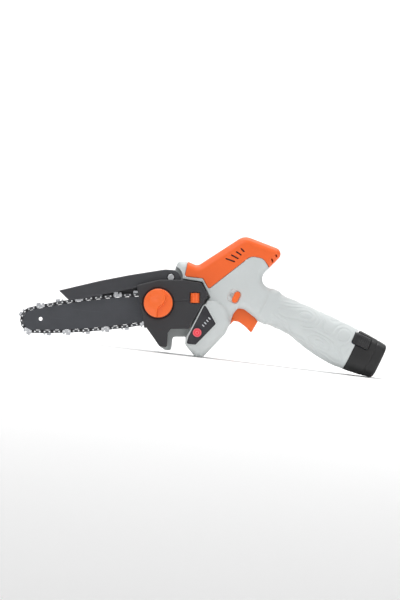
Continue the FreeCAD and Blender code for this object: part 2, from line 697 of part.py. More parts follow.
# ---------------------------------------------------------------- bar
def guide_bar():
    """Two rails with a groove between them; the slot lets the bar slide along the stud."""
    end = STUD_U + 17.0
    edge_line = []
    top_mid = end / 2
    low = RAIL_DROP
    nose = NOSE_RADIUS - low
    upper = [V(0, 0, nose), V(top_mid, 0, run_height(top_mid) - low), V(end - 3, 0, run_height(end) - low)]
    mirror = [V(p.x, 0, -p.z) for p in upper]
    edge_line.append(Part.Arc(upper[2], upper[1], upper[0]).toShape())
    edge_line.append(Part.Arc(upper[0], V(-nose, 0, 0), mirror[0]).toShape())
    edge_line.append(Part.Arc(mirror[0], mirror[1], mirror[2]).toShape())
    corner = V(end, 0, -7.0)
    edge_line.append(Part.makeLine(mirror[2], corner))
    edge_line.append(Part.makeLine(corner, V(end, 0, 7.0)))
    edge_line.append(Part.makeLine(V(end, 0, 7.0), upper[2]))
    face = Part.Face(Part.Wire(edge_line))
    core = face.makeOffset2D(-5.2)
    plate = face.extrude(V(0, BAR_THICK, 0))
    middle = core.extrude(V(0, 1.3, 0))
    plate.translate(V(0, -BAR_THICK / 2, 0))
    middle.translate(V(0, -0.65, 0))
    hollow = face.extrude(V(0, 1.3, 0))
    hollow.translate(V(0, -0.65, 0))
    bar = plate.cut(hollow.cut(middle))
    near = STUD_U - BAR_TRAVEL - 4.8
    far = STUD_U + 4.8
    slot = slab([(near, STUD_V - 4.2, 4.1), (far, STUD_V - 4.2, 4.1),
                 (far, STUD_V + 4.2, 4.1), (near, STUD_V + 4.2, 4.1)], -4, 4)
    bar = bar.cut(slot)
    bar = bar.cut(disc((STUD_U, PIN_V), 2.3, -4, 4))
    bar = bar.cut(disc((9.6, 0.4), 2.5, -4, 4))
    return BAR.place(bar)


# ---------------------------------------------------------------- chain
DRIVE_THICK = 1.05
STRAP_THICK = 0.9
STRAP_Y = 0.6
CHAIN_PHASE = 1.6              # shift of the first rivet along the loop
# every fourth link cuts; an odd number of drive links leaves one longer gap, round the sprocket
CUTTER_LINKS = list(range(1, 66, 4)) + [71, 75]


def chain_rivet_points():
    line = chain_line(REACH)
    step = line.Length / (CHAIN_LINKS * 2)
    points = []
    edges = line.OrderedEdges
    lengths = [edge.Length for edge in edges]
    start = line.OrderedVertexes[0].Point
    for i in range(CHAIN_LINKS * 2):
        along = (CHAIN_PHASE + i * step) % line.Length
        index = 0
        while along > lengths[index]:
            along -= lengths[index]
            index += 1
        edge = edges[index]
        forward = index_is_forward(edges, index, start)
        run = along if forward else lengths[index] - along
        points.append(edge.valueAt(edge.getParameterByLength(run)))
    return points


def index_is_forward(edges, index, start):
    """True if the edge's own parameter runs the way round that the loop does."""
    here = start
    for k in range(index):
        ends = [edges[k].valueAt(edges[k].FirstParameter), edges[k].valueAt(edges[k].LastParameter)]
        here = ends[1] if (ends[0] - here).Length < (ends[1] - here).Length else ends[0]
    first = edges[index].valueAt(edges[index].FirstParameter)
    return (first - here).Length < 1e-3


def link_plate(points, y0, y1, pitch):
    plate = slab(points, y0, y1)
    for at in (0.0, pitch):
        plate = plate.cut(disc((at, 0.0), 1.02, y0 - 1, y1 + 1))
    return plate


def strap(y0, y1, pitch):
    lift = 1.9
    ends = 2.0
    shape = [(-ends, -lift, 1.5), (pitch + ends, -lift, 1.5), (pitch + ends, 1.9, 1.7), (-ends, 1.9, 1.7)]
    return link_plate(shape, y0, y1, pitch)


def drive_link(pitch):
    """Plate with a tang that runs in the bar's groove and a low bumper outside."""
    shape = [(-1.9, -1.6, 1.2), (0.6, -2.4, 0.8), (2.2, -6.3, 0.8), (pitch - 0.6, -6.3, 1.2),
             (pitch + 0.7, -2.4, 0.8), (pitch + 1.9, -1.6, 1.2), (pitch + 1.9, 1.6, 1.3),
             (pitch * 0.78, 2.0, 1.2), (pitch * 0.3, 2.0, 1.2), (-1.9, 1.6, 1.3)]
    return link_plate(shape, -DRIVE_THICK / 2, DRIVE_THICK / 2, pitch)


def cutter(side, pitch):
    """Side plate with depth gauge, gullet and a top plate bent over the chain."""
    y0, y1 = STRAP_Y, STRAP_Y + STRAP_THICK
    shape = [(-2.2, -1.9, 1.5), (pitch + 2.2, -1.9, 1.5), (pitch + 2.3, 1.6, 0.8), (pitch + 1.7, 4.6, 0.5),
             (2.8, 4.5, 0.3), (2.5, 2.3, 0.5), (0.9, 2.2, 0.5), (0.6, 4.1, 0.6), (-1.5, 3.9, 0.8),
             (-2.3, 1.5, 0.8)]
    top = [(2.7, 4.0), (pitch + 1.5, 4.3), (pitch + 1.5, 5.2), (2.3, 4.9)]
    body = slab(shape, y0, y1).fuse(slab(top, -1.1, y1 + 0.75))
    for at in (0.0, pitch):
        body = body.cut(disc((at, 0.0), 1.02, y0 - 1, y1 + 1))
    if side > 0:
        return body
    return flip_up(body)


def flip_up(shape):
    """The same piece for the other side of the chain."""
    return shape.mirror(V(0, 0, 0), V(0, 1, 0))


def chain_parts():
    points = chain_rivet_points()
    count = len(points)
    pitch = CHAIN_PITCH
    drive = drive_link(pitch)
    plain = {1: strap(STRAP_Y, STRAP_Y + STRAP_THICK, pitch), -1: strap(-STRAP_Y - STRAP_THICK, -STRAP_Y, pitch)}
    cutting = {1: cutter(1, pitch), -1: cutter(-1, pitch)}
    bolt = Part.makeCylinder(1.0, 3.4, V(0, -1.7, 0), V(0, 1, 0))
    groups = {"chain_drive_links": [], "chain_tie_straps": [], "chain_cutters_left": [],
              "chain_cutters_right": [], "chain_rivets": []}
    for i in range(count):
        here = points[i]
        ahead = points[(i + 1) % count]
        middle = (here + ahead) * 0.5
        angle = math.degrees(math.atan2(ahead.z - here.z, ahead.x - here.x))
        shift = V(-pitch / 2, 0, 0)

        def put(shape):
            copy = shape.copy()
            copy.translate(shift)
            # the loop is followed with its inside on the left, so links are turned over
            copy.rotate(V(0, 0, 0), V(1, 0, 0), 180)
            copy.rotate(V(0, 0, 0), V(0, 1, 0), -angle)
            copy.translate(middle)
            return BAR.place(copy)

        rivet = bolt.copy()
        rivet.translate(here)
        groups["chain_rivets"].append(BAR.place(rivet))
        if i % 2 == 0:
            groups["chain_drive_links"].append(put(drive))
            continue
        cutting_side = 0
        if i in CUTTER_LINKS:
            cutting_side = 1 if CUTTER_LINKS.index(i) % 2 == 0 else -1
        # turning a link over swaps its sides
        for side in (1, -1):
            if side != cutting_side:
                groups["chain_tie_straps"].append(put(plain[side]))
            elif side == 1:
                groups["chain_cutters_left"].append(put(cutting[1]))
            else:
                groups["chain_cutters_right"].append(put(cutting[-1]))
    return {name: Part.makeCompound(shapes) for name, shapes in groups.items()}


# ---------------------------------------------------------------- guard
GUARD = [(-192.4, 64.3, 0.6), (-178.0, 53.4, 1.2), (-163.0, 56.3, 8), (-92.0, 80.0, 20), (-66.0, 84.2, 12),
         (-50.0, 84.2, 11), (-36.9, 86.5, 11), (-37.2, 109.2, 11.5), (-58.0, 108.2, 20), (-103.0, 95.4, 60),
         (-141.0, 83.2, 60)]
GUARD_INSIDE = [(-186.5, 64.2), (-174.0, 45.0), (-30.0, 45.0), (-30.0, 118.0), (-62.0, 118.0), (-62.0, 104.7),
                (-103.6, 93.2), (-141.8, 80.9)]
GUARD_Y0 = -26.0
GUARD_Y1 = PAD_Y - GAP
GUARD_WALL = 2.0


def chain_guard():
    body = slab(GUARD, GUARD_Y0, GUARD_Y1)
    body = soften(soften(body, 0.7, GUARD_Y0), 0.7, GUARD_Y1)
    body = body.cut(slab(GUARD_INSIDE, GUARD_Y0 + GUARD_WALL, GUARD_Y1 - GUARD_WALL))
    barrel = disc(GUARD_AT, 5.2, GUARD_Y0 + 0.5, GUARD_Y1)
    body = fuse([body, barrel]).cut(disc(GUARD_AT, 2.5 + FIT, -40, 0))
    return body.cut(disc(GUARD_AT, 5.0, GUARD_Y0 - 1, GUARD_Y0 + 1.6))


def guard_screw():
    shank = disc(GUARD_AT, 2.5, GUARD_Y0 + 1.8, -5.2)
    head = soften(disc(GUARD_AT, 4.2, GUARD_Y0 - 0.8, GUARD_Y0 + 1.55), 0.5, GUARD_Y0 - 0.8)
    neck = disc(GUARD_AT, 2.5, GUARD_Y0 + 1.5, GUARD_Y0 + 1.9)
    return fuse([shank, neck, head]).cut(socket(GUARD_AT, 2.2, GUARD_Y0 - 2, GUARD_Y0 + 0.9))


def guard_spring():
    coil = spring(6.8, 0.6, 10.6, 6)
    coil.rotate(V(0, 0, 0), V(1, 0, 0), 90)
    coil.translate(V(GUARD_AT[0], GUARD_Y1 - GUARD_WALL - 0.9, GUARD_AT[1]))
    return coil


# ---------------------------------------------------------------- side cover
COVER = [(-92.6, 83.2, 1.2), (-77.2, 35.0, 2), (-76.2, 28.6, 1.5), (-73.4, 30.2, 1), (-53.0, 8.2, 2.5),
         (-44.4, 8.2, 1.5), (-45.2, 26.0, 0), (-41.8, 32.3, 3), (-17.2, 35.4, 1), (0.2, 75.8, 0.5),
         (2.8, 79.3, 1), (-9.4, 95.9, 2.5), (-36.5, 97.0, 1), (-64.0, 94.0, 6)]
COVER_SKIN = 2.5


def cover_walls():
    """Rim that stands back to the gearbox: top right, bottom and the spike; the chain runs between."""
    band = slab(COVER, COVER_Y + 1, PAD_Y - GAP).cut(inset_slab(COVER, 2.4, COVER_Y, PAD_Y))
    keep = fuse([slab([(-35.6, 120), (-35.6, 77.5), (10, 77.5), (10, 120)], COVER_Y, 0),
                 slab([(-73.5, 28), (-60, 0), (-12, 0), (-12, 41), (-40, 34), (-60, 30.8)], COVER_Y, 0)])
    return band.common(keep)


def tension_pocket():
    frame = Frame(WHEEL_AT[0], WHEEL_AT[1], 6.7)
    return box(frame, -6.6, 6.6, -6.8, 6.8, COVER_Y - 2, COVER_Y + 6)


def side_cover():
    face = soften(slab(COVER, COVER_Y, COVER_Y + COVER_SKIN), 1.2, COVER_Y)
    body = fuse([face, cover_walls(), disc(KNOB_AT, 21.5, COVER_Y + 1, COVER_Y + 4.4)])
    boss_ring = disc(KNOB_AT, 9.0, COVER_Y + 2, BAR_Y - BAR_THICK / 2 - 0.1)
    body = body.fuse(boss_ring).cut(disc(KNOB_AT, 20.4, COVER_Y - 1, COVER_Y + 1.8))
    body = body.cut(disc(KNOB_AT, 6.6, COVER_Y - 1, COVER_Y + 12.3))
    body = body.cut(disc(KNOB_AT, STUD_RADIUS + 0.4, COVER_Y, 0)).cut(tension_pocket())
    groove = local_slab(Frame(-87.2, 59.9, 0), [(0, -0.4), (8, 0.1), (8, 0.9), (0, 0.5)], -40, COVER_Y + 0.5)
    body = body.cut(groove)
    for u in (-44.0, -12.0):
        body = body.fuse(screw_bracket(u))
    return body


def screw_bracket(x):
    """Bearing lug for the tension screw, grown from the cover's inside."""
    place = tension_frame()
    u = (x - place.x) / place.c
    lug = local_slab(place, [(u - 1.5, -4.2), (u + 1.5, -4.2), (u + 1.5, 4.2), (u - 1.5, 4.2)],
                     COVER_Y + 2 - SCREW_Y, 4.2)
    return lug.cut(axial(place, 2.2 + FIT, u - 3, u + 3))


def tension_frame():
    at = BAR.flat(STUD_U, PIN_V)
    return Frame(at[0], at[1], BAR.slope, SCREW_Y)


def knob():
    """Dial with a hub and a two-armed wing to turn it by."""
    top = COVER_Y - 12.0
    base = soften(disc(KNOB_AT, KNOB_RADIUS, COVER_Y - 6.5, COVER_Y + 1.4), 1.5, COVER_Y - 6.5)
    hub = soften(disc(KNOB_AT, 8.6, top, COVER_Y - 4), 1.2, top)
    frame = Frame(KNOB_AT[0], KNOB_AT[1], 68.0)
    wing = local_slab(frame, [(-17.4, -5.0, 3), (17.4, -4.2, 3), (17.4, 4.2, 3), (-17.4, 5.0, 3)],
                      top + 0.6, COVER_Y - 4)
    wing = soften(wing, 1.0, top + 0.6)
    body = fuse([base, hub, wing, disc(KNOB_AT, 6.3, COVER_Y + 1, COVER_Y + 8.0)])
    return body.cut(disc(KNOB_AT, 5.2, NUT_TOP - 0.1, COVER_Y + 9))


def knob_nut():
    return ring(KNOB_AT, 5.2, STUD_RADIUS + FIT, NUT_TOP, COVER_Y + 8.0)


def tension_wheel():
    """Knurled roller in the cover's window with a small bevel gear on its lower end."""
    frame = Frame(WHEEL_AT[0], WHEEL_AT[1], 96.7, -29.6)
    roller = axial(frame, WHEEL_RADIUS, -WHEEL_TALL / 2, WHEEL_TALL / 2)
    for k in range(12):
        angle = math.radians(30 * k)
        groove = axial(frame, 0.75, -20, 20, WHEEL_RADIUS * math.cos(angle), WHEEL_RADIUS * math.sin(angle))
        roller = roller.cut(groove)
    shaft = axial(frame, 1.8, -WHEEL_TALL / 2 - 3.0, WHEEL_TALL / 2 + 2.0)
    return fuse([roller, shaft])


def tension_screw():
    place = tension_frame()
    return fuse([axial(place, 2.2, 9.6, 50.0), axial(place, 1.6, -9.0, 10.0), axial(place, 3.0, 49.8, 51.4)])


def tension_nut():
    place = tension_frame()
    block = box(place, -4.2, 3.8, -4.0, 2.8, -3.2, 4.4).cut(axial(place, 1.6 + FIT, -12, 12))
    pin = Part.makeCylinder(2.1, 9.6, V(0, 4.2, 0), V(0, 1, 0))
    return fuse([block, place.place(pin)])


# ---------------------------------------------------------------- trigger, lock, switch
def trigger():
    body = slab(TRIGGER, -7.6, 7.6)
    body = soften(soften(body, 0.8, -7.6), 0.8, 7.6)
    return body.cut(slab([(44, 62, 2), (58, 62, 2), (56, 80), (44, 80)], -4.6, 4.6))


def trigger_spring():
    start = V(50.5, 0, 63.6)
    coil = spring(2.9, 0.4, 13.0, 7)
    coil.rotate(V(0, 0, 0), V(0, 1, 0), 19.0)
    coil.translate(start)
    return coil


def lock_button():
    parts = []
    for side in (-1, 1):
        y0, y1 = sorted((side * (HEAD_HALF - 1.1), side * (HEAD_HALF + 2.0)))
        cap = local_slab(GRIP, [(LOCK_U - 3.9, LOCK_V - 7.6, 3.8), (LOCK_U + 3.9, LOCK_V - 7.6, 3.8),
                                (LOCK_U + 3.9, LOCK_V + 7.6, 3.8), (LOCK_U - 3.9, LOCK_V + 7.6, 3.8)], y0, y1)
        parts.append(soften(cap, 0.9, side * (HEAD_HALF + 2.0)))
    half = 1.9
    parts.append(box(GRIP, LOCK_U - half, LOCK_U + half, LOCK_V - half, LOCK_V + half,
                     -HEAD_HALF + 1.0, HEAD_HALF - 1.0))
    return fuse(parts)


def lock_spring():
    coil = spring(1.5, 0.3, 7.0, 6)
    coil.rotate(V(0, 0, 0), V(0, 1, 0), 90)
    coil.translate(V(LOCK_U + 2.3, 9.0, LOCK_V))
    return GRIP.place(coil)


def switch_body():
    case = box(GRIP, -149, -125, -3.0, 13, -9, 9)
    lugs = [box(GRIP, -125, -121.5, 4.0, 9.5, y - 2.4, y + 2.4) for y in (-4.6, 4.6)]
    plunger = box(GRIP, -147, -143.5, -4.6, -3.0, -2, 2)
    stop = box(GRIP, LOCK_U + 9.4, -149, 0, 8, -9, 9)
    return fuse([case, plunger, stop] + lugs)


# ---------------------------------------------------------------- battery and its socket
def battery_terminals():
    block = box(GRIP, -62, -53, -9, 9, -15, 15)
    blades = [box(GRIP, -53, -44.4, -4, 4, y - 0.5, y + 0.5) for y in (-9, 0, 9)]
    return fuse([block] + blades)


def power_wires():
    wires = []
    for y in (-4.6, 4.6):
        route = [GRIP.point(-62.0, 3.0, y), GRIP.point(-78.0, 3.0, y), GRIP.point(-96.0, 9.0, y * 1.3),
                 GRIP.point(-110.0, 7.0, y), GRIP.point(-121.5, 6.7, y)]
        wires.append(tube([tuple(p) for p in route], 1.2))
    return Part.makeCompound(wires)


def battery_cap():
    outer = loft(GRIP, CAP_SECTIONS)
    rim = [e for e in outer.Edges if abs(e.CenterOfMass.sub(GRIP.point(PACK_LENGTH, 1.5)).Length) < 6]
    outer = outer.makeFillet(2.2, rim)
    inner_sections = [(-1.0, *CAP_SECTIONS[0][1:]), CAP_SECTIONS[1], (PACK_LENGTH - 3.0, -22.9, 25.5, 22.8, 3.0)]
    cap = outer.cut(loft(GRIP, inner_sections, 2.3))
    for side in (-1, 1):
        cap = cap.cut(latch_shape(side, 0.35, 6.0, 2.0))
    floor = Part.makeBox(600, 200, 50, V(-300, -100, -50))
    return biggest(cap.cut(floor))


def latch_shape(side, grow, deep, proud):
    """Curved pad on the flank of the cap, between two skins of its own shape."""
    sections = [(-8.0, -27.7, 27.7, 24.6, 2.9), (0.0, -27.7, 27.7, 24.6, 2.9), CAP_SECTIONS[1]]
    outer = loft(GRIP, sections, -proud)
    inner = loft(GRIP, sections, -proud + deep)
    y0, y1 = (8.0, 40.0) if side > 0 else (-40.0, -8.0)
    window = box(GRIP, -LATCH_REACH - grow, 17.5 + grow, 8.0 - grow, 24.0 + grow, y0, y1)
    return outer.cut(inner).common(window)


def latch(side):
    return biggest(latch_shape(side, 0.0, 3.4, 1.0))


STEM_HALF = (19.8, 18.6)       # half its width and half its height


def battery_stem():
    w, h = STEM_HALF
    shape = rounded_bar(w, h, 10.0, -STEM_DEPTH, 30.0)
    hollow = rounded_bar(w - 1.0, h - 1.2, 8.8, -STEM_DEPTH + 2.0, 31.0)
    stem = shape.cut(hollow)
    for y in (-9, 0, 9):
        stem = stem.cut(box(GRIP, -STEM_DEPTH - 1, -STEM_DEPTH + 3, -4.5, 4.5, y - 1.0, y + 1.0))
    for side in (-1, 1):
        stem = stem.cut(latch_shape(side, 0.5, 9.0, 0.0))
    return biggest(stem)


def rounded_bar(w, h, radius, u0, u1):
    """Bar along the grip with a rounded rectangle for its section."""
    points = [(-w, -h, radius), (w, -h, radius), (w, h, radius), (-w, h, radius)]
    prism = slab(points, 0, u1 - u0)
    prism.rotate(V(0, 0, 0), V(0, 0, 1), -90)
    prism.translate(V(u0, 0, 0))
    return GRIP.place(prism)


CELLS = [(-8.1, -9.35), (-8.1, 9.35), (8.1, 0.0)]
CELL_START = -42.0


def battery_cells():
    cells = []
    for v, y in CELLS:
        body = axial(GRIP, CELL_RADIUS, CELL_START, CELL_START + CELL_LENGTH, v, y)
        tip = axial(GRIP, 3.0, CELL_START - 1.2, CELL_START, v, y)
        cells.append(body.fuse(tip))
    return Part.makeCompound(cells)


def battery_board():
    return box(GRIP, 26.0, 27.6, -14, 14, -15, 15)


def battery_contacts():
    clips = []
    for y in (-9, 0, 9):
        for side in (-1, 1):
            near, far = sorted((y + side * 0.7, y + side * 1.1))
            clips.append(box(GRIP, -45.6, -43.7, -3.5, 3.5, near, far))
    return Part.makeCompound(clips)


def save(name, shape):
    shape.exportStep("parts/" + name + ".step")


def main():
    os.makedirs("parts", exist_ok=True)
    shapes = housing_parts()
    case, lid = gearbox()
    shapes["gearbox_case"] = case
    shapes["gearbox_lid"] = lid
    shapes["led_lights"] = Part.makeCompound(light_shapes(0.0))
    shapes.update(chain_parts())
    for build in (control_panel, power_button, control_board, housing_screws, bearings, bar_stud,
                  sprocket_shaft, drive_sprocket, sprocket_clip, bevel_gear, bevel_pinion, motor_can,
                  motor_magnets, motor_end_bell, motor_brushes, motor_shaft, armature_core,
                  armature_windings, commutator, cooling_fan, guide_bar, chain_guard, guard_screw,
                  guard_spring, side_cover, knob, knob_nut, tension_wheel, tension_screw, tension_nut,
                  trigger, trigger_spring, lock_button, lock_spring, switch_body, battery_terminals,
                  power_wires, battery_cap, battery_stem, battery_cells, battery_board, battery_contacts):
        shapes[build.__name__] = build()
    shapes["latch_left"] = latch(-1)
    shapes["latch_right"] = latch(1)
    for name, shape in sorted(shapes.items()):
        save(name, shape)


main()
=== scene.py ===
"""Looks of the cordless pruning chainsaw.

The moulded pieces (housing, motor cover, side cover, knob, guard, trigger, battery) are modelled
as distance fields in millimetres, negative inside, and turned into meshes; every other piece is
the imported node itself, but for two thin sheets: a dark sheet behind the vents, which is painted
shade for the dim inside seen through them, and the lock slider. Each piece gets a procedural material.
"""
import json
import math

import bpy
import numpy as np
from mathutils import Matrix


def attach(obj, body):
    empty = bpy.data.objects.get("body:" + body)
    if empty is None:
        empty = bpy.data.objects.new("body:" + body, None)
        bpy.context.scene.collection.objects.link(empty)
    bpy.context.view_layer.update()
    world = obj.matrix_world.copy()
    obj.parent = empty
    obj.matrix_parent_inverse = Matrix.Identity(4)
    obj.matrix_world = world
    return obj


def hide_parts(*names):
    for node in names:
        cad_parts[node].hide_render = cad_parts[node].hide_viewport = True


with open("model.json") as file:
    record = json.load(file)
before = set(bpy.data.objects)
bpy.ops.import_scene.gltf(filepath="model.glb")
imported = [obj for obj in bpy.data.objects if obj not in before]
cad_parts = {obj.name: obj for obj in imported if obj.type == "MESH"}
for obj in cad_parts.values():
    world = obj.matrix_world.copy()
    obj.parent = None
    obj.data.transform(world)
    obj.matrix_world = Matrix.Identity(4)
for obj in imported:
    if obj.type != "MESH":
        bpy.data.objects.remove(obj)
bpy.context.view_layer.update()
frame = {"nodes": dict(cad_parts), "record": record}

import openvdb
from mathutils import Matrix, Vector

COARSE = 1.0

# ---------------------------------------------------------------- sizes shared with the CAD, mm
WALL = 2.6
PAD_Y = -9.0
COVER_Y = -34.0
POD_HALF = 30.0
HEAD_HALF = 24.0
KNOB_AT = (-61.6, 63.5)
KNOB_RADIUS = 18.7
GUARD_AT = (-49.6, 98.8)
POWER_AT = (-7.1, 31.5)
WHEEL_AT = (-15.3, 75.9)
DRIVE_AT = (-25.55, 65.88)
GRIP_AT = (196.4, 33.25)       # where grip and battery meet
GRIP_SLOPE = -19.0
MOTOR_SLOPE = 41.5
WHEEL_SLOPE = 6.7
SCREW_AT = (-58.87, 51.25)     # start of the tension screw, which lies along the bar
BAR_SLOPE = 12.6
GUARD_RECESS = 15.4            # hollow in the head for the guard's round end
LOCK_U = -166.3
LOCK_V = -4.5
LOCK_TRAVEL = 6.0
PACK_LENGTH = 40.0
LATCH_REACH = 5.5

FRONT = [(12, 30), (-20, 24), (-38.4, 21.8, 4), (-38.4, 4.0, 2.5), (-46, 3.4, 3), (-54.5, 7.4, 3),
         (-73, 29, 4), (-75, 36, 4), (-87.5, 78, 5), (-64, 94, 6), (-59, 104, 6), (-44, 110, 3),
         (-10, 112), (12, 100)]
POD = [(-21.6, 23, 1), (-20.6, 14, 5), (-6.3, 0, 3), (3.8, 0, 4), (29.6, 34.3, 10), (34.4, 50, 6),
       (28.5, 68, 12), (14, 74.6, 12), (1.0, 74.4, 1)]
HEAD = [(-46, 111, 3), (-42.3, 121.5, 5), (-29, 121.6, 3), (-17, 118, 8), (38.8, 164.5, 17),
        (95.2, 150.4, 8.5), (60.9, 106.5, 12), (92, 96.2), (80, 54), (70.4, 56.8, 1),
        (50, 68.9, 5), (42, 69.2, 4), (37.2, 62, 3), (33, 46), (10, 50), (1, 73),
        (4.0, 79.3, 1), (-8.2, 97.6, 1.5), (-36.6, 98.6, 1)]
ORANGE = [(-31.9, 102.1, 2), (-8.2, 102.4, 3), (1.0, 89.4, 2.5), (50.5, 138.8, 13), (66.8, 137.6, 12),
          (76.8, 125.8), (100, 115), (120, 170), (20, 200), (-29.6, 130)]
PANEL = [(-1.6, 69.2, 1.5), (15.6, 45.8, 2), (-7.2, 15.9, 2.5), (-19.2, 15.6, 2), (-17.6, 25.5)]
TRIGGER = [(33.5, 43.0, 0.9), (37.8, 51.8, 4), (45.5, 51.6, 8), (55.0, 46.2, 30), (63.4, 39.2, 1.6),
           (70.4, 55.6, 3), (58.5, 70.5, 3), (41.0, 74, 3), (35.2, 60, 3)]
COVER = [(-92.6, 83.2, 1.2), (-77.2, 35.0, 2), (-76.2, 28.6, 1.5), (-73.4, 30.2, 1), (-53.0, 8.2, 2.5),
         (-44.4, 8.2, 1.5), (-45.2, 26.0, 0), (-41.8, 32.3, 3), (-17.2, 35.4, 1), (0.2, 75.8, 0.5),
         (2.8, 79.3, 1), (-9.4, 95.9, 2.5), (-36.5, 97.0, 1), (-64.0, 94.0, 6)]
GUARD = [(-192.4, 64.3, 0.6), (-178.0, 53.4, 1.2), (-163.0, 56.3, 8), (-92.0, 80.0, 20),
         (-66.0, 84.2, 12), (-50.0, 84.2, 11), (-36.9, 86.5, 11), (-37.2, 109.2, 11.5),
         (-58.0, 108.2, 20), (-103.0, 95.4, 60), (-141.0, 83.2, 60)]
GUARD_INSIDE = [(-186.5, 64.2), (-174.0, 45.0), (-30.0, 45.0), (-30.0, 118.0), (-62.0, 118.0),
                (-62.0, 104.7), (-103.6, 93.2), (-141.8, 80.9)]
# the guard's far wall hangs lower, over the chain; only these looks show it
GUARD_SKIRT = [(-166.0, 57.5), (-160.0, 56.0), (-120.0, 64.0), (-91.5, 70.3), (-88.5, 84.0),
               (-130.0, 74.0)]
# along the grip, underside, top, half width, squareness
GRIP_END = -126.0
GRIP_SECTIONS = [(GRIP_END, -17.9, 25.5, 23.0, 3.6), (-105.0, -18.2, 25.8, 23.0, 3.0),
                 (-86.0, -18.5, 26.6, 23.0, 2.7), (-73.0, -20.6, 27.2, 23.0, 2.6),
                 (-57.0, -24.6, 27.6, 23.4, 2.6), (-30.0, -28.8, 28.0, 23.8, 2.7),
                 (-12.0, -29.0, 27.9, 24.2, 2.8), (0.0, -27.7, 27.7, 24.5, 2.9)]
CAP_SECTIONS = [(0.0, -27.7, 27.7, 24.5, 2.9), (20.0, -25.4, 26.8, 24.3, 3.0),
                (PACK_LENGTH, -22.4, 25.4, 22.6, 3.0)]
BOSSES = [(-47.0, 14.0), (0.0, 10.5), (100.0, 66.0), (118.0, 56.0), (62.0, 101.0)]
COVER_BOSSES = [(-24.0, 110.5), (68.0, 147.0)]
VENTS = [((18.0, 131.7), (30.8, 128.9)), ((24.5, 137.3), (34.9, 133.3)), ((30.5, 142.4), (38.2, 138.3)),
         ((36.2, 147.3), (41.3, 143.1)), ((77.5, 138.9), (80.2, 133.3)), ((82.1, 144.7), (84.4, 141.7))]


# ---------------------------------------------------------------- distance fields
class Cells:
    """A block of sample points; a field is an array over it."""

    def __init__(self, low, high, step):
        self.step = step * COARSE
        self.low = np.array(low, float) - 2.5 * self.step
        count = np.ceil((np.array(high) + 2.5 * self.step - self.low) / self.step).astype(int) + 1
        axes = [(self.low[i] + self.step * np.arange(count[i])).astype(np.float32) for i in range(3)]
        self.x = axes[0][:, None, None]
        self.y = axes[1][None, :, None]
        self.z = axes[2][None, None, :]


class Turned:
    """Coordinates along (u) and across (v) a direction in the XZ plane."""

    def __init__(self, cells, x, z, slope):
        c = math.cos(math.radians(slope))
        s = math.sin(math.radians(slope))
        self.u = (cells.x - x) * c + (cells.z - z) * s
        self.v = (cells.z - z) * c - (cells.x - x) * s


def grip_frame(cells):
    return Turned(cells, *GRIP_AT, GRIP_SLOPE)


def motor_frame(cells):
    return Turned(cells, *DRIVE_AT, MOTOR_SLOPE)


def rounded(points):
    """Outline as a fine closed line; a third number is that corner's radius."""
    line = []
    for i, point in enumerate(points):
        here = np.array(point[:2], float)
        radius = point[2] if len(point) > 2 else 0
        if not radius:
            line.append(here)
            continue
        back = np.array(points[i - 1][:2], float) - here
        ahead = np.array(points[(i + 1) % len(points)][:2], float) - here
        back /= np.linalg.norm(back)
        ahead /= np.linalg.norm(ahead)
        half = math.acos(float(np.clip(back @ ahead, -1, 1))) / 2
        middle = (back + ahead) / np.linalg.norm(back + ahead)
        centre = here + middle * radius / math.sin(half)
        first = here + back * radius / math.tan(half) - centre
        last = here + ahead * radius / math.tan(half) - centre
        start = math.atan2(first[1], first[0])
        turn = (math.atan2(last[1], last[0]) - start + math.pi) % (2 * math.pi) - math.pi
        count = max(3, int(abs(turn) * radius / 0.5) + 1)
        for k in range(count + 1):
            angle = start + turn * k / count
            line.append(centre + radius * np.array([math.cos(angle), math.sin(angle)]))
    return np.array(line)


def flat(cells, points):
    """Distance to an outline in the XZ plane."""
    line = rounded(points)
    px = cells.x[:, 0, 0][:, None].astype(float)
    pz = cells.z[0, 0, :][None, :].astype(float)
    best = np.full((px.size, pz.size), 1e9)
    inside = np.zeros(best.shape, bool)
    for a, b in zip(line, np.roll(line, -1, 0)):
        ex, ez = b - a
        size = ex * ex + ez * ez
        if size < 1e-12:
            continue
        wx = px - a[0]
        wz = pz - a[1]
        t = np.clip((wx * ex + wz * ez) / size, 0, 1)
        best = np.minimum(best, (wx - t * ex) ** 2 + (wz - t * ez) ** 2)
        if ez:
            inside ^= ((a[1] <= pz) != (b[1] <= pz)) & (px < a[0] + (pz - a[1]) / ez * ex)
    best = np.sqrt(best)
    return np.where(inside, -best, best)[:, None, :].astype(np.float32)


def around(cells, at):
    return np.hypot(cells.x - at[0], cells.z - at[1])


def oblong(u, v, u0, u1, v0, v1, radius):
    """Distance to a rounded rectangle."""
    a = np.abs(u - (u0 + u1) / 2) - (u1 - u0) / 2 + radius
    b = np.abs(v - (v0 + v1) / 2) - (v1 - v0) / 2 + radius
    return np.minimum(np.maximum(a, b), 0) + np.hypot(np.maximum(a, 0), np.maximum(b, 0)) - radius


def plate(cells, d, y0, y1, near=0.8, far=0.8):
    """Slab of an outline with the edges of its y0 face rounded by near and of its y1 face by far."""
    middle = (y0 + y1) / 2
    r = np.where(cells.y < middle, near, far)
    a = d + r
    b = np.abs(cells.y - middle) - (y1 - y0) / 2 + r
    return np.minimum(np.maximum(a, b), 0) + np.hypot(np.maximum(a, 0), np.maximum(b, 0)) - r


def join(a, b, k=0.0):
    """Union, blended over k."""
    if not k:
        return np.minimum(a, b)
    h = np.maximum(k - np.abs(a - b), 0)
    return np.minimum(a, b) - h * h / (4 * k)


def meet(a, b, k=0.0):
    return -join(-a, -b, k)


def carve(a, b, k=0.0):
    return -join(-a, b, k)


def ease(x, low, high):
    t = np.clip((x - low) / (high - low), 0, 1)
    return t * t * (3 - 2 * t)


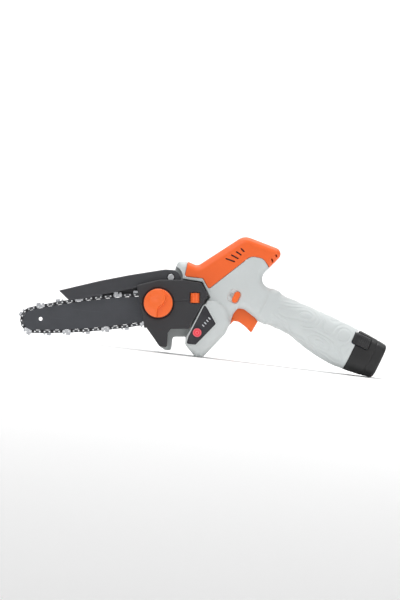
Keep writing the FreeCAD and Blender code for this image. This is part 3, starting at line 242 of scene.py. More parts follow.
def bend(t, knots, values):
    """Smooth curve through values, with level ends."""
    knots = np.array(knots, float)
    values = np.array(values, float)
    slopes = np.gradient(values, knots)
    slopes[0] = slopes[-1] = 0
    i = np.clip(np.searchsorted(knots, t) - 1, 0, len(knots) - 2)
    span = knots[i + 1] - knots[i]
    f = np.clip((t - knots[i]) / span, 0, 1)
    a = values[i] * (1 + 2 * f) * (1 - f) ** 2 + slopes[i] * span * f * (1 - f) ** 2
    b = values[i + 1] * f * f * (3 - 2 * f) + slopes[i + 1] * span * f * f * (f - 1)
    return (a + b).astype(np.float32)


def sleeve(cells, sections):
    """Distance to a body of round-cornered sections along the grip."""
    g = grip_frame(cells)
    knots = [row[0] for row in sections]
    low, top, half, power = (bend(g.u, knots, [row[i] for row in sections]) for i in (1, 2, 3, 4))
    across = np.abs(cells.y) / half
    up = np.abs(g.v - (low + top) / 2) / ((top - low) / 2)
    size = np.maximum(across ** power + up ** power, 1e-6) ** (1 / power)
    ratio = np.maximum(size, 0.3)
    steep_y = (across / ratio) ** (power - 1) / half
    steep_v = (up / ratio) ** (power - 1) / ((top - low) / 2)
    steep = np.hypot(steep_y, steep_v)
    return (size - 1) / np.maximum(steep, 0.02)


def plane_field(height, step):
    """Scales a height's distance by its slope, so that steep ground keeps its thickness."""
    gx, gz = np.gradient(height[:, 0, :], step)
    return np.sqrt(1 + gx ** 2 + gz ** 2)[:, None, :]


# ---------------------------------------------------------------- meshes
def keep_whole(points, quads, least):
    """Drops loose crumbs of fewer than this many faces."""
    label = np.arange(len(points))
    a = quads[:, [0, 1, 2]].ravel()
    b = quads[:, [1, 2, 3]].ravel()
    while True:
        low = np.minimum(label[a], label[b])
        fresh = label.copy()
        np.minimum.at(fresh, label[a], low)
        np.minimum.at(fresh, label[b], low)
        while (fresh[fresh] != fresh).any():
            fresh = fresh[fresh]
        if (fresh == label).all():
            break
        label = fresh
    mine = label[quads[:, 0]]
    count = np.bincount(mine, minlength=len(points))
    quads = quads[count[mine] >= least]
    used = np.unique(quads)
    again = np.zeros(len(points), int)
    again[used] = np.arange(len(used))
    return points[used], again[quads]


def piece(name, cells, field, body, nodes, slot, least=400):
    """Mesh of a field, riding on a body in place of CAD nodes."""
    deep = 3 * cells.step
    shape = (cells.x.size, cells.y.size, cells.z.size)
    values = np.ascontiguousarray(np.broadcast_to(np.clip(field, -deep, deep), shape).astype(np.float32))
    grid = openvdb.FloatGrid(background=deep)
    grid.copyFromArray(values)
    points, _, quads = grid.convertToPolygons(isovalue=0.0, adaptivity=0.0)
    points, quads = keep_whole(points.astype(float), quads.astype(int), least / COARSE ** 2)
    points = (cells.low + points * cells.step) / 1000
    a, b, c, d = (points[quads[:, i]] for i in range(4))
    if (np.cross(b - a, c - a) * a).sum() + (np.cross(c - a, d - a) * a).sum() < 0:
        quads = quads[:, ::-1]
    mesh = bpy.data.meshes.new(name)
    mesh.vertices.add(len(points))
    mesh.vertices.foreach_set("co", points.ravel())
    mesh.loops.add(quads.size)
    mesh.loops.foreach_set("vertex_index", quads.ravel().astype(np.int32))
    mesh.polygons.add(len(quads))
    mesh.polygons.foreach_set("loop_start", np.arange(0, quads.size, 4, dtype=np.int32))
    mesh.polygons.foreach_set("use_smooth", np.ones(len(quads), bool))
    mesh.update(calc_edges=True)
    mesh.validate()
    obj = bpy.data.objects.new(name, mesh)
    bpy.context.scene.collection.objects.link(obj)
    mesh.materials.append(MATERIALS[slot])
    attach(obj, body)
    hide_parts(*nodes)
    return obj


# ---------------------------------------------------------------- materials
def ramp(value, gamma=2.4):
    return value / 12.92 if value <= 0.04045 else ((value + 0.055) / 1.055) ** gamma


def srgb(r, g, b):
    return tuple(ramp(v / 255) for v in (r, g, b)) + (1.0,)


class Nodes:
    """Short names for building a material's node tree."""

    def __init__(self, name):
        self.material = bpy.data.materials.new(name)
        self.material.use_nodes = True
        self.tree = self.material.node_tree
        self.shader = self.tree.nodes["Principled BSDF"]
        self.place = self.tree.nodes.new("ShaderNodeTexCoord").outputs["Object"]

    def link(self, output, target):
        self.tree.links.new(output, target)

    def noise(self, scale, detail=3.0, rough=0.5, distortion=0.0, stretch=None):
        node = self.tree.nodes.new("ShaderNodeTexNoise")
        node.inputs["Scale"].default_value = scale
        node.inputs["Detail"].default_value = detail
        node.inputs["Roughness"].default_value = rough
        node.inputs["Distortion"].default_value = distortion
        if stretch:
            mapping = self.tree.nodes.new("ShaderNodeMapping")
            mapping.inputs["Scale"].default_value = stretch
            self.link(self.place, mapping.inputs["Vector"])
            self.link(mapping.outputs[0], node.inputs["Vector"])
        else:
            self.link(self.place, node.inputs["Vector"])
        return node.outputs["Fac"]

    def spots(self, scale):
        node = self.tree.nodes.new("ShaderNodeTexVoronoi")
        node.inputs["Scale"].default_value = scale
        self.link(self.place, node.inputs["Vector"])
        return node.outputs["Distance"]

    def span(self, value, low, high, out_low, out_high):
        node = self.tree.nodes.new("ShaderNodeMapRange")
        limits = {"From Min": low, "From Max": high, "To Min": out_low, "To Max": out_high}
        for name, number in limits.items():
            node.inputs[name].default_value = number
        self.link(value, node.inputs["Value"])
        return node.outputs["Result"]

    def mix(self, factor, first, second):
        node = self.tree.nodes.new("ShaderNodeMix")
        node.data_type = "RGBA"
        for socket, colour in ((node.inputs[6], first), (node.inputs[7], second)):
            if isinstance(colour, tuple):
                socket.default_value = colour
            else:
                self.link(colour, socket)
        self.link(factor, node.inputs[0])
        return node.outputs[2]

    def math(self, kind, first, second=0.0):
        node = self.tree.nodes.new("ShaderNodeMath")
        node.operation = kind
        for socket, value in zip(node.inputs, (first, second)):
            if isinstance(value, float):
                socket.default_value = value
            else:
                self.link(value, socket)
        return node.outputs[0]

    def edges(self, low=0.52, high=0.58):
        """1 on raised edges, from the mesh's own curvature."""
        node = self.tree.nodes.new("ShaderNodeNewGeometry")
        return self.span(node.outputs["Pointiness"], low, high, 0.0, 1.0)

    def bump(self, height, strength, distance=0.0002, under=None):
        node = self.tree.nodes.new("ShaderNodeBump")
        node.inputs["Strength"].default_value = strength
        node.inputs["Distance"].default_value = distance
        self.link(height, node.inputs["Height"])
        if under is not None:
            self.link(under, node.inputs["Normal"])
        return node.outputs["Normal"]


def shade(colour, by):
    return tuple(min(1.0, c * by) for c in colour[:3]) + (1.0,)


def plastic(name, colour, rough, grain=1.0, scuff=0.5, coat=0.0):
    """Moulded plastic: spark-eroded grain, faint flow shading, rubbed edges and fine scuffs."""
    n = Nodes(name)
    flow = n.noise(14.0, 2.0)
    mottle = n.noise(220.0, 3.0)
    base = n.mix(n.span(flow, 0.35, 0.65, 0.0, 1.0), shade(colour, 0.965), shade(colour, 1.03))
    base = n.mix(n.span(mottle, 0.3, 0.7, 0.0, 0.35), base, shade(colour, 0.94))
    worn = n.math("MULTIPLY", n.edges(), n.span(n.noise(90.0, 4.0), 0.45, 0.62, 0.0, 0.45 * scuff))
    base = n.mix(worn, base, tuple(min(1.0, c * 1.15 + 0.05) for c in colour[:3]) + (1.0,))
    n.link(base, n.shader.inputs["Base Color"])
    rub = n.noise(60.0, 5.0, 0.6)
    scratch = n.span(n.noise(420.0, 2.0, stretch=(0.12, 1.0, 1.0)), 0.58, 0.72, 0.0, 0.10 * scuff)
    roughness = n.math("ADD", n.span(rub, 0.3, 0.7, rough - 0.06, rough + 0.06), scratch)
    n.link(roughness, n.shader.inputs["Roughness"])
    fine = n.bump(n.spots(1500.0), 0.10 * grain, 0.0002)
    soft = n.bump(n.noise(500.0, 3.0), 0.06 * grain, 0.0002, fine)
    n.link(n.bump(scratch, 0.05 * scuff, 0.0001, soft), n.shader.inputs["Normal"])
    n.shader.inputs["Specular IOR Level"].default_value = 0.45
    n.shader.inputs["Coat Weight"].default_value = coat
    n.shader.inputs["Coat Roughness"].default_value = 0.25
    return n.material


def metal(name, colour, rough, brushed=0.5, stain=0.3, amount=1.0):
    """Metal with grinding lines and dull stains."""
    n = Nodes(name)
    lines = n.noise(900.0, 2.0, stretch=(0.08, 1.0, 1.0))
    film = n.noise(70.0, 4.0, 0.6)
    base = n.mix(n.span(film, 0.35, 0.7, 0.0, stain), colour, shade(colour, 0.62))
    base = n.mix(n.span(lines, 0.4, 0.6, 0.0, 0.25 * brushed), base, shade(colour, 1.25))
    n.link(base, n.shader.inputs["Base Color"])
    n.shader.inputs["Metallic"].default_value = amount
    wear = n.span(film, 0.3, 0.75, rough - 0.05, rough + 0.12)
    n.link(n.math("ADD", wear, n.span(lines, 0.4, 0.6, 0.0, 0.08 * brushed)), n.shader.inputs["Roughness"])
    first = n.bump(lines, 0.10 * brushed, 0.0001)
    n.link(n.bump(n.noise(300.0, 3.0), 0.05, 0.0001, first), n.shader.inputs["Normal"])
    return n.material


def coated_steel(name, colour):
    """Dark matt coating with long fine scratches."""
    n = Nodes(name)
    film = n.noise(40.0, 4.0, 0.6)
    base = n.mix(n.span(film, 0.35, 0.65, 0.0, 1.0), shade(colour, 0.92), shade(colour, 1.08))
    long_marks = n.span(n.noise(700.0, 2.0, stretch=(0.035, 1.0, 1.0)), 0.64, 0.74, 0.0, 0.5)
    base = n.mix(n.math("MULTIPLY", long_marks, 0.35), base, shade(colour, 2.2))
    n.link(base, n.shader.inputs["Base Color"])
    n.shader.inputs["Metallic"].default_value = 0.15
    n.link(n.span(film, 0.3, 0.7, 0.40, 0.52), n.shader.inputs["Roughness"])
    first = n.bump(long_marks, 0.08, 0.0001)
    n.link(n.bump(n.noise(650.0, 3.0), 0.10, 0.0001, first), n.shader.inputs["Normal"])
    return n.material


def ribbon_copper(name):
    """Enamelled wire, laid in fine turns."""
    n = Nodes(name)
    wave = n.tree.nodes.new("ShaderNodeTexWave")
    wave.inputs["Scale"].default_value = 420.0
    wave.inputs["Distortion"].default_value = 1.2
    n.link(n.place, wave.inputs["Vector"])
    turns = wave.outputs["Fac"]
    n.link(n.mix(turns, srgb(120, 58, 30), srgb(206, 124, 70)), n.shader.inputs["Base Color"])
    n.shader.inputs["Metallic"].default_value = 0.85
    n.link(n.span(n.noise(80.0), 0.3, 0.7, 0.28, 0.42), n.shader.inputs["Roughness"])
    n.link(n.bump(turns, 0.5, 0.0002), n.shader.inputs["Normal"])
    return n.material


def board(name):
    """Green lacquer with copper tracks showing under it."""
    n = Nodes(name)
    brick = n.tree.nodes.new("ShaderNodeTexBrick")
    brick.inputs["Scale"].default_value = 160.0
    brick.inputs["Mortar Size"].default_value = 0.03
    n.link(n.place, brick.inputs["Vector"])
    tracks = brick.outputs["Fac"]
    base = n.mix(n.span(n.noise(60.0), 0.3, 0.7, 0.0, 1.0), srgb(18, 74, 44), srgb(26, 92, 54))
    n.link(n.mix(tracks, base, srgb(70, 130, 76)), n.shader.inputs["Base Color"])
    n.link(n.span(n.noise(90.0), 0.3, 0.7, 0.28, 0.40), n.shader.inputs["Roughness"])
    n.link(n.bump(tracks, 0.25, 0.0001), n.shader.inputs["Normal"])
    return n.material


def lens(name):
    """Frosted light window."""
    n = Nodes(name)
    n.link(n.mix(n.span(n.noise(300.0), 0.3, 0.7, 0.0, 1.0), srgb(196, 200, 204), srgb(226, 228, 230)),
           n.shader.inputs["Base Color"])
    n.link(n.span(n.noise(200.0), 0.3, 0.7, 0.3, 0.45), n.shader.inputs["Roughness"])
    n.link(n.bump(n.noise(1500.0), 0.15, 0.0001), n.shader.inputs["Normal"])
    n.shader.inputs["Subsurface Weight"].default_value = 0.1
    return n.material


def red_button(name):
    """Soft red cap, paler towards its rim, with a small ring symbol."""
    n = Nodes(name)
    parts = n.tree.nodes.new("ShaderNodeSeparateXYZ")
    n.link(n.place, parts.inputs[0])
    dx = n.math("SUBTRACT", parts.outputs["X"], POWER_AT[0] / 1000)
    dz = n.math("SUBTRACT", parts.outputs["Z"], POWER_AT[1] / 1000)
    far = n.math("SQRT", n.math("ADD", n.math("MULTIPLY", dx, dx), n.math("MULTIPLY", dz, dz)))
    base = n.mix(n.span(far, 0.0034, 0.0052, 0.0, 1.0), srgb(236, 48, 66), srgb(252, 122, 132))
    ring = n.span(n.math("ABSOLUTE", n.math("SUBTRACT", far, 0.0020)), 0.0002, 0.0004, 0.55, 0.0)
    base = n.mix(ring, base, srgb(255, 186, 190))
    base = n.mix(n.span(n.noise(260.0), 0.3, 0.7, 0.0, 0.25), base, srgb(214, 40, 58))
    n.link(base, n.shader.inputs["Base Color"])
    n.link(n.span(n.noise(150.0), 0.3, 0.7, 0.34, 0.48), n.shader.inputs["Roughness"])
    n.link(n.bump(n.spots(1600.0), 0.08, 0.0001), n.shader.inputs["Normal"])
    return n.material


MATERIALS = {
    "housing_grey": plastic("housing_grey", srgb(197, 202, 202), 0.50, grain=0.9, scuff=0.35),
    "orange_plastic": plastic("orange_plastic", srgb(238, 100, 36), 0.42, grain=0.6, scuff=0.3),
    "orange_knob": plastic("orange_knob", srgb(240, 106, 42), 0.38, grain=0.5, scuff=0.4),
    "panel_black": plastic("panel_black", srgb(32, 32, 38), 0.36, grain=0.4, scuff=0.4, coat=0.2),
    "light_lens": lens("light_lens"),
    "button_red": red_button("button_red"),
    "circuit_board": board("circuit_board"),
    "fastener_steel": metal("fastener_steel", srgb(205, 207, 210), 0.26, brushed=0.6, stain=0.25),
    "cast_alloy": metal("cast_alloy", srgb(178, 180, 182), 0.48, brushed=0.1, stain=0.4),
    "bearing_steel": metal("bearing_steel", srgb(200, 202, 204), 0.18, brushed=0.7, stain=0.15),
    "motor_steel": metal("motor_steel", srgb(168, 170, 173), 0.36, brushed=0.5, stain=0.3),
    "magnet": metal("magnet", srgb(64, 64, 68), 0.5, brushed=0.1, stain=0.3),
    "inner_plastic": plastic("inner_plastic", srgb(50, 50, 53), 0.5, grain=0.8, scuff=0.2),
    "carbon": plastic("carbon", srgb(38, 38, 40), 0.6, grain=1.6, scuff=0.2),
    "spring_steel": metal("spring_steel", srgb(176, 178, 182), 0.24, brushed=0.4, stain=0.2),
    "wire_rubber": plastic("wire_rubber", srgb(150, 26, 26), 0.48, grain=0.4, scuff=0.2),
    "gear_steel": metal("gear_steel", srgb(150, 152, 156), 0.3, brushed=0.6, stain=0.45),
    "copper": ribbon_copper("copper"),
    "bar_steel": coated_steel("bar_steel", srgb(62, 64, 69)),
    "chain_steel": metal("chain_steel", srgb(92, 93, 96), 0.36, brushed=0.5, stain=0.6, amount=0.9),
    "cutter_steel": metal("cutter_steel", srgb(198, 200, 204), 0.22, brushed=0.4, stain=0.35),
    "guard_plastic": plastic("guard_plastic", srgb(54, 55, 59), 0.50, grain=1.0, scuff=0.5),
    "cover_plastic": plastic("cover_plastic", srgb(46, 46, 49), 0.52, grain=1.1, scuff=0.5),
    "brass_insert": metal("brass_insert", srgb(206, 168, 92), 0.26, brushed=0.6, stain=0.25),
    "battery_black": plastic("battery_black", srgb(22, 22, 23), 0.46, grain=0.9, scuff=0.4),
    "latch_black": plastic("latch_black", srgb(24, 24, 26), 0.40, grain=0.5, scuff=0.6),
    "cell_wrap": plastic("cell_wrap", srgb(38, 96, 160), 0.3, grain=0.1, scuff=0.4, coat=0.3),
}
# Some pieces of one steel are finished apart: bright rivet heads, blackened links and springs.
OWN_FINISH = {"chain_rivets": "rivet_bright", "chain_drive_links": "link_black", "lock_spring": "link_black"}
MATERIALS["rivet_bright"] = metal("rivet_bright", srgb(236, 238, 240), 0.16, brushed=0.2, stain=0.1)
MATERIALS["link_black"] = metal("link_black", srgb(48, 48, 51), 0.42, brushed=0.3, stain=0.5, amount=0.6)
for row in frame["record"]["subparts"]:
    mesh = frame["nodes"][row["node"]].data
    mesh.materials.clear()
    mesh.materials.append(MATERIALS[OWN_FINISH.get(row["node"], row["material_slot"])])


# ---------------------------------------------------------------- housing
def case_outline():
    s = DRIVE_AT
    return [(s[0] + 21, s[1] - 12, 10), (s[0] + 8, s[1] - 21, 10), (s[0] - 16, s[1] - 21, 8),
            (KNOB_AT[0] - 12, KNOB_AT[1] - 10, 8), (KNOB_AT[0] - 12, KNOB_AT[1] + 11, 8),
            (GUARD_AT[0] - 7.5, GUARD_AT[1] - 2, 4), (GUARD_AT[0] - 6, GUARD_AT[1] + 7, 5),
            (GUARD_AT[0] + 7, GUARD_AT[1] + 6, 5), (GUARD_AT[0] + 9, GUARD_AT[1] - 9, 6),
            (s[0] + 12, s[1] + 20, 9), (s[0] + 21, s[1] + 12, 9)]


def grip_relief(cells):
    """Depth of the flowing contour grooves pressed into the grip's flanks."""
    g = grip_frame(cells)
    hills = [(-104, 6, 26, 15, 0.9), (-70, 16, 22, 13, 1.0), (-44, -10, 24, 13, 1.1),
             (-18, 14, 16, 14, 0.8), (-80, -12, 16, 10, 0.5), (-12, -20, 18, 10, 0.6)]
    ground = sum(h * np.exp(-((g.u - u) / a) ** 2 - ((g.v - v) / b) ** 2) for u, v, a, b, h in hills)
    gx, gz = np.gradient(ground[:, 0, :], cells.step)
    slope = np.hypot(gx, gz)[:, None, :]
    gap = 0.21
    away = np.abs((ground / gap + 0.5) % 1.0 - 0.5) * gap / np.maximum(slope, 0.004)
    groove = np.exp(-(away / 1.15) ** 2) * ease(slope, 0.004, 0.012)
    fade = ease(g.u, -122, -104) * ease(-g.u, 3, 9)
    return 0.62 * groove * fade


def housing_shell(cells):
    """The whole moulded shell, before it is split into grey and orange halves."""
    g = grip_frame(cells)
    head_flat = flat(cells, HEAD)
    pod_flat = flat(cells, POD)
    front_flat = flat(cells, FRONT)
    from_cover = (cells.x + 21.6) * 0.9154 - (cells.z - 23.0) * 0.4025
    pod_round = 1.6 + 8.0 * ease(from_cover, 5.0, 26.0)
    seam = [(-36.6, 98.6), (-8.2, 97.6), (4.0, 79.3), (1.0, 73.0), (10.0, 50.0)]
    near_seam = np.abs(flat(cells, seam + seam[-2:0:-1]))
    head_round = 1.4 + 8.2 * ease(near_seam, 2.0, 15.0)
    front = plate(cells, front_flat, PAD_Y, 22.0, 0.8, 3.2)
    pod = plate(cells, pod_flat, -POD_HALF, POD_HALF, pod_round, 9.0)
    rim = plate(cells, flat(cells, PANEL) - 1.7, -POD_HALF - 1.6, -24.0, 0.7, 0.5)
    head = plate(cells, head_flat, -HEAD_HALF, HEAD_HALF, head_round, 9.6)
    skin = sleeve(cells, GRIP_SECTIONS)
    grip = meet(skin, GRIP_END - g.u)
    body = join(head, grip, 8.0)
    body = join(body, pod, 3.0)
    body = join(join(body, front, 1.0), rim, 0.5)
    outer = meet(body + grip_relief(cells), g.u, 0.6)
    recess = meet(around(cells, GUARD_AT) - GUARD_RECESS, cells.y - PAD_Y)
    outer = carve(outer, recess, 0.6)
    hollow = join(plate(cells, front_flat + WALL, PAD_Y + WALL, 22.0 - WALL, 0.5, 2.0),
                  plate(cells, pod_flat + WALL, -POD_HALF + WALL, POD_HALF - WALL, 1.0, 3.0))
    hollow = join(hollow, plate(cells, head_flat + WALL, -HEAD_HALF + WALL, HEAD_HALF - WALL, 1.0, 1.0))
    hollow = join(hollow, meet(skin + WALL, GRIP_END - g.u))
    hollow = carve(hollow, meet(around(cells, GUARD_AT) - GUARD_RECESS - WALL, cells.y - PAD_Y - WALL))
    hollow = meet(hollow, body + 1.4)
    return carve(outer, hollow, 0.5)


def housing_cuts(cells, shell):
    """Openings of the grey halves: gearbox window, panel, trigger slot, lock scoop, latch notches."""
    g = grip_frame(cells)
    shell = carve(shell, plate(cells, flat(cells, case_outline()) - 0.4, PAD_Y - 3, -4.7), 0.3)
    shell = carve(shell, plate(cells, flat(cells, PANEL) - 0.08, -40.0, -26.0, 0.1, 0.1), 0.3)
    slot = 1e3
    for k in range(4):
        shift = 2.0 * k
        moved = [(p[0] + 0.3256 * shift, p[1] + 0.9455 * shift, *p[2:]) for p in TRIGGER]
        slot = np.minimum(slot, flat(cells, moved) - 0.6)
    shell = carve(shell, meet(slot, np.abs(cells.y) - 8.4, 0.5), 0.7)
    scoop = oblong(g.u, g.v, LOCK_U - LOCK_TRAVEL - 4.4, LOCK_U + 4.3, LOCK_V - 8, LOCK_V + 8, 3.9)
    shell = carve(shell, meet(scoop, HEAD_HALF - 1.3 - np.abs(cells.y), 0.8), 1.2)
    track = oblong(g.u, g.v, LOCK_U - LOCK_TRAVEL - 2.3, LOCK_U + 2.3, LOCK_V - 2.3, LOCK_V + 2.3, 0.4)
    shell = carve(shell, meet(track, HEAD_HALF - 5.0 - np.abs(cells.y)), 0.3)
    notch = oblong(g.u, g.v, -LATCH_REACH - 0.5, 12.0, 7.4, 24.6, 2.6)
    return carve(shell, meet(notch, 8.0 - np.abs(cells.y)), 0.6)


def vent_slots(cells):
    slots = 1e3
    for start, end in VENTS:
        angle = math.degrees(math.atan2(end[1] - start[1], end[0] - start[0]))
        t = Turned(cells, *start, angle)
        slots = np.minimum(slots, oblong(t.u, t.v, 0.0, math.dist(start, end), -0.9, 0.9, 0.85))
    slots = meet(slots, HEAD_HALF - WALL - 2.0 - np.abs(cells.y))
    m = motor_frame(cells)
    for y in (-15.0, -5.0, 5.0, 15.0):
        cut = np.maximum(np.abs(cells.y - y) - 1.2, np.maximum(128.0 - m.u, np.abs(m.v + 2.0) - 12.0))
        slots = np.minimum(slots, cut)
    return slots


def bosses(cells, shell, places, depths, side):
    """Screw posts inside a half; on the far side their heads sit in round sinks."""
    inward = cells.y * side
    for at, depth in zip(places, depths):
        away = around(cells, at)
        post = np.maximum(away - 3.4, np.maximum(inward - depth, -inward))
        shell = join(shell, post, 0.6)
        if side < 0:
            hole = np.maximum(away - 1.65, inward - min(depth, 12.0) + 1.5)
        else:
            hole = np.minimum(away - 1.65, np.maximum(away - 2.95, depth - 4.0 - inward))
        shell = carve(shell, hole, 0.3)
    return shell


def boss_depth(at, side):
    if at[0] < -25:
        return 22.0 - WALL / 2 if side > 0 else -PAD_Y - WALL / 2
    if at[1] < 20:
        return POD_HALF - WALL / 2
    return 23.0 - WALL


def half(cells, shell, side):
    """One side of the parting plane, with a fine rounded joint line."""
    return meet(shell, 0.1 - side * cells.y, 0.7)


def build_housing(side, name):
    low, high = (-32.4, 0.4) if side < 0 else (-0.4, 31.0)
    cells = Cells((-90.0, low, -0.5), (200.0, high, 152.0), 0.62)
    shell = housing_cuts(cells, housing_shell(cells))
    shell = meet(shell, 0.18 - flat(cells, ORANGE), 0.7)
    shell = bosses(cells, shell, BOSSES, [boss_depth(at, side) for at in BOSSES], side)
    shell = half(cells, shell, side)
    piece("shell_grey_" + name, cells, shell, "saw", ["housing_" + name], "housing_grey", 3000)
    cells = Cells((-36.0, max(low, -25.0), 86.0), (97.0, min(high, 25.0), 165.5), 0.55)
    shell = meet(housing_shell(cells), flat(cells, ORANGE) + 0.18, 0.7)
    shell = carve(shell, vent_slots(cells), 0.5)
    shell = bosses(cells, shell, COVER_BOSSES, [HEAD_HALF - WALL / 2] * 2, side)
    shell = half(cells, shell, side)
    piece("shell_orange_" + name, cells, shell, "saw", ["motor_cover_" + name], "orange_plastic", 3000)


def build_vent_shade_and_lock_slide():
    """Dark sheet behind the left-side vents, painted shade for the dim inside, and the slide that keeps the
    lock's track closed.
    """
    # painted shade: a dark sheet just inside the left flank, so the vent slots show darkness instead of the
    # motor
    cells = Cells((8.0, -21.3, 118.0), (52.0, -20.3, 154.0), 0.3)
    m = Turned(cells, 30.0, 116.0, MOTOR_SLOPE)
    sheet = oblong(m.u, m.v, -1.0, 29.5, 7.5, 21.0, 2.0)
    sheet = np.maximum(sheet, np.abs(cells.y + 20.8) - 0.4)
    piece("vent_shade_sheet", cells, sheet, "saw", [], "inner_plastic", 50)
    cells = Cells((22.0, -21.3, 72.0), (62.0, -20.3, 100.0), 0.3)
    g = grip_frame(cells)
    sheet = oblong(g.u, g.v, LOCK_U - 9.6, LOCK_U + 9.4, LOCK_V - 3.6, LOCK_V + 3.6, 1.0)
    post = oblong(g.u, g.v, LOCK_U - 2.4, LOCK_U + 2.4, LOCK_V - 2.6, LOCK_V + 2.6, 0.5)
    sheet = np.maximum(np.maximum(sheet, -post), np.abs(cells.y + 20.8) - 0.35)
    piece("lock_slide_sheet", cells, sheet, "lock_button", [], "housing_grey", 50)


build_housing(-1, "left")
build_housing(1, "right")
build_vent_shade_and_lock_slide()


# ---------------------------------------------------------------- side cover
def build_cover():
    cells = Cells((-93.0, -34.1, 7.8), (3.2, -9.0, 97.5), 0.45)
    d = flat(cells, COVER)
    rise = (cells.z - 59.9) * 0.9839 - (cells.x + 87.0) * 0.1785
    lean = 0.030 * np.maximum(rise, 0) + 0.014 * np.maximum(-rise - 6, 0)
    fold = 1.1 * np.exp(-(rise / 0.9) ** 2) * ease(cells.x, -44.0, -40.0) * ease(-cells.x, 4.0, 12.0)
    top = COVER_Y + lean + fold + 0 * cells.z
    steep = plane_field(top, cells.step)
    skin = meet(meet(d, (top - cells.y) / steep, 2.0), cells.y - top - 2.5, 0.4)
    band = np.maximum(d, -d - 2.4)
    upper = flat(cells, [(-35.6, 120), (-35.6, 77.5), (10, 77.5), (10, 120)])
    lower = flat(cells, [(-73.5, 28), (-60, 0), (-12, 0), (-12, 41), (-40, 34), (-60, 30.8)])
    band = np.maximum(band, np.minimum(upper, lower))
    band = np.maximum(band, np.maximum(-33.0 - cells.y, cells.y - PAD_Y + 0.3))
    body = join(skin, band, 0.6)
    away = around(cells, KNOB_AT)
    body = join(body, plate(cells, away - 21.5, -33.0, -29.6, 0.2, 0.4), 0.4)
    body = join(body, plate(cells, away - 9.0, -32.0, -17.8, 0.3, 0.4), 0.4)
    body = carve(body, np.maximum(away - 20.4, cells.y + 32.2), 0.8)
    body = carve(body, np.maximum(away - 6.6, cells.y + 21.7), 0.3)
    body = carve(body, away - 4.4, 0.3)
    w = Turned(cells, *WHEEL_AT, WHEEL_SLOPE)
    window = oblong(w.u, w.v, -6.6, 6.6, -6.8, 6.8, 1.0)
    body = join(body, np.maximum(window - 1.6, np.maximum(cells.y + 28.5, -33.0 - cells.y)), 0.4)
    body = carve(body, np.maximum(window, cells.y + 28.0), 0.9)
    slit = oblong(cells.x, cells.z, -88.4, -79.0, 59.1, 60.9, 0.6)
    body = carve(body, np.maximum(slit, cells.y + 32.4), 0.3)
    t = Turned(cells, *SCREW_AT, BAR_SLOPE)
    for x in (-44.0, -12.0):
        u = (x - SCREW_AT[0]) / math.cos(math.radians(BAR_SLOPE))
        lug = np.maximum(np.abs(t.u - u) - 1.5, np.abs(t.v) - 4.2)
        lug = np.maximum(lug, np.maximum(-32.0 - cells.y, cells.y + 21.8))
        lug = carve(lug, np.hypot(t.v, cells.y + 26.0) - 2.25)
        body = join(body, lug, 0.3)
    trim = Turned(cells, -21.3, 22.5, math.degrees(math.atan2(49.9, 21.5)))
    body = carve(body, trim.v - 2.9, 0.5)
    piece("cover_plate", cells, body, "cover", ["side_cover"], "cover_plastic", 2000)


build_cover()


# ---------------------------------------------------------------- knob
def build_knob():
    """Dial whose raised side ends in a curved step round the hub, to be turned by."""
    cells = Cells((KNOB_AT[0] - 19, -46.0, KNOB_AT[1] - 19), (KNOB_AT[0] + 19, -25.5, KNOB_AT[1] + 19), 0.3)
    step = [(-26, 26), (3.0, 26), (3.7, 17.0, 4), (8.6, 10.6, 4), (8.9, 4.6, 4), (5.8, -1.2, 3),
            (0.9, -5.2, 3), (0.0, -11.7, 3), (0.75, -18.2), (1.0, -26), (-26, -26)]
    edge = flat(cells, [(p[0] + KNOB_AT[0], p[1] + KNOB_AT[1], *p[2:]) for p in step])
    away = around(cells, KNOB_AT)
    raised = 1.0 - ease(edge, -0.9, 0.9)
    crown = 11.8 - 3.6 * ease(-edge, 2.0, 20.0) - 1.6 * ease(away, 9.0, 18.5)
    height = 6.4 + (crown - 6.4) * raised + 0 * cells.z
    top = COVER_Y - height
    steep = plane_field(top, cells.step)
    body = meet(away - KNOB_RADIUS, (top - cells.y) / steep, 2.2)
    ridges = 0.22 * (0.5 + 0.5 * np.cos(48 * np.arctan2(cells.z - KNOB_AT[1], cells.x - KNOB_AT[0])))
    body = body + ridges * ease(away, 17.4, 18.4) * ease(-cells.y, 33.5, 35.0) * ease(cells.y, -44.0, -38.0)
    body = meet(body, cells.y - COVER_Y - 1.4, 0.5)
    body = join(body, np.maximum(away - 6.3, np.maximum(cells.y + 26.0, -34.0 - cells.y)), 0.4)
    body = carve(body, np.maximum(away - 5.2, -39.0 - cells.y), 0.2)
    piece("cover_knob", cells, body, "knob", ["knob"], "orange_knob")


build_knob()


# ---------------------------------------------------------------- guard
def build_guard():
    cells = Cells((-193.0, -26.1, 52.0), (-36.0, -9.0, 110.0), 0.5)
    d = flat(cells, GUARD)
    body = plate(cells, d, -26.0, -9.3, 1.7, 1.0)
    body = join(body, np.maximum(flat(cells, GUARD_SKIRT), np.abs(cells.y + 10.3) - 1.0), 0.4)
    inside = np.maximum(flat(cells, GUARD_INSIDE), np.abs(cells.y + 17.65) - 6.35)
    body = carve(body, inside, 0.5)
    away = around(cells, GUARD_AT)
    hub = np.maximum(away - 5.2, np.maximum(-25.5 - cells.y, cells.y + 9.35))
    body = join(body, hub, 0.4)
    body = carve(body, away - 2.55, 0.2)
    body = carve(body, np.maximum(away - 5.0, cells.y + 24.4), 0.7)
    piece("guard_shell", cells, body, "guard", ["chain_guard"], "guard_plastic", 1500)


build_guard()


# ---------------------------------------------------------------- trigger
def build_trigger():
    cells = Cells((32.5, -7.7, 38.5), (71.0, 7.7, 74.5), 0.35)
    body = plate(cells, flat(cells, TRIGGER), -7.6, 7.6, 2.6, 2.6)
    pocket = flat(cells, [(44, 62, 2), (58, 62, 2), (56, 80), (44, 80)])
    body = carve(body, np.maximum(pocket, np.abs(cells.y) - 4.6), 0.3)
    piece("trigger_lever", cells, body, "trigger", ["trigger"], "orange_knob")


build_trigger()


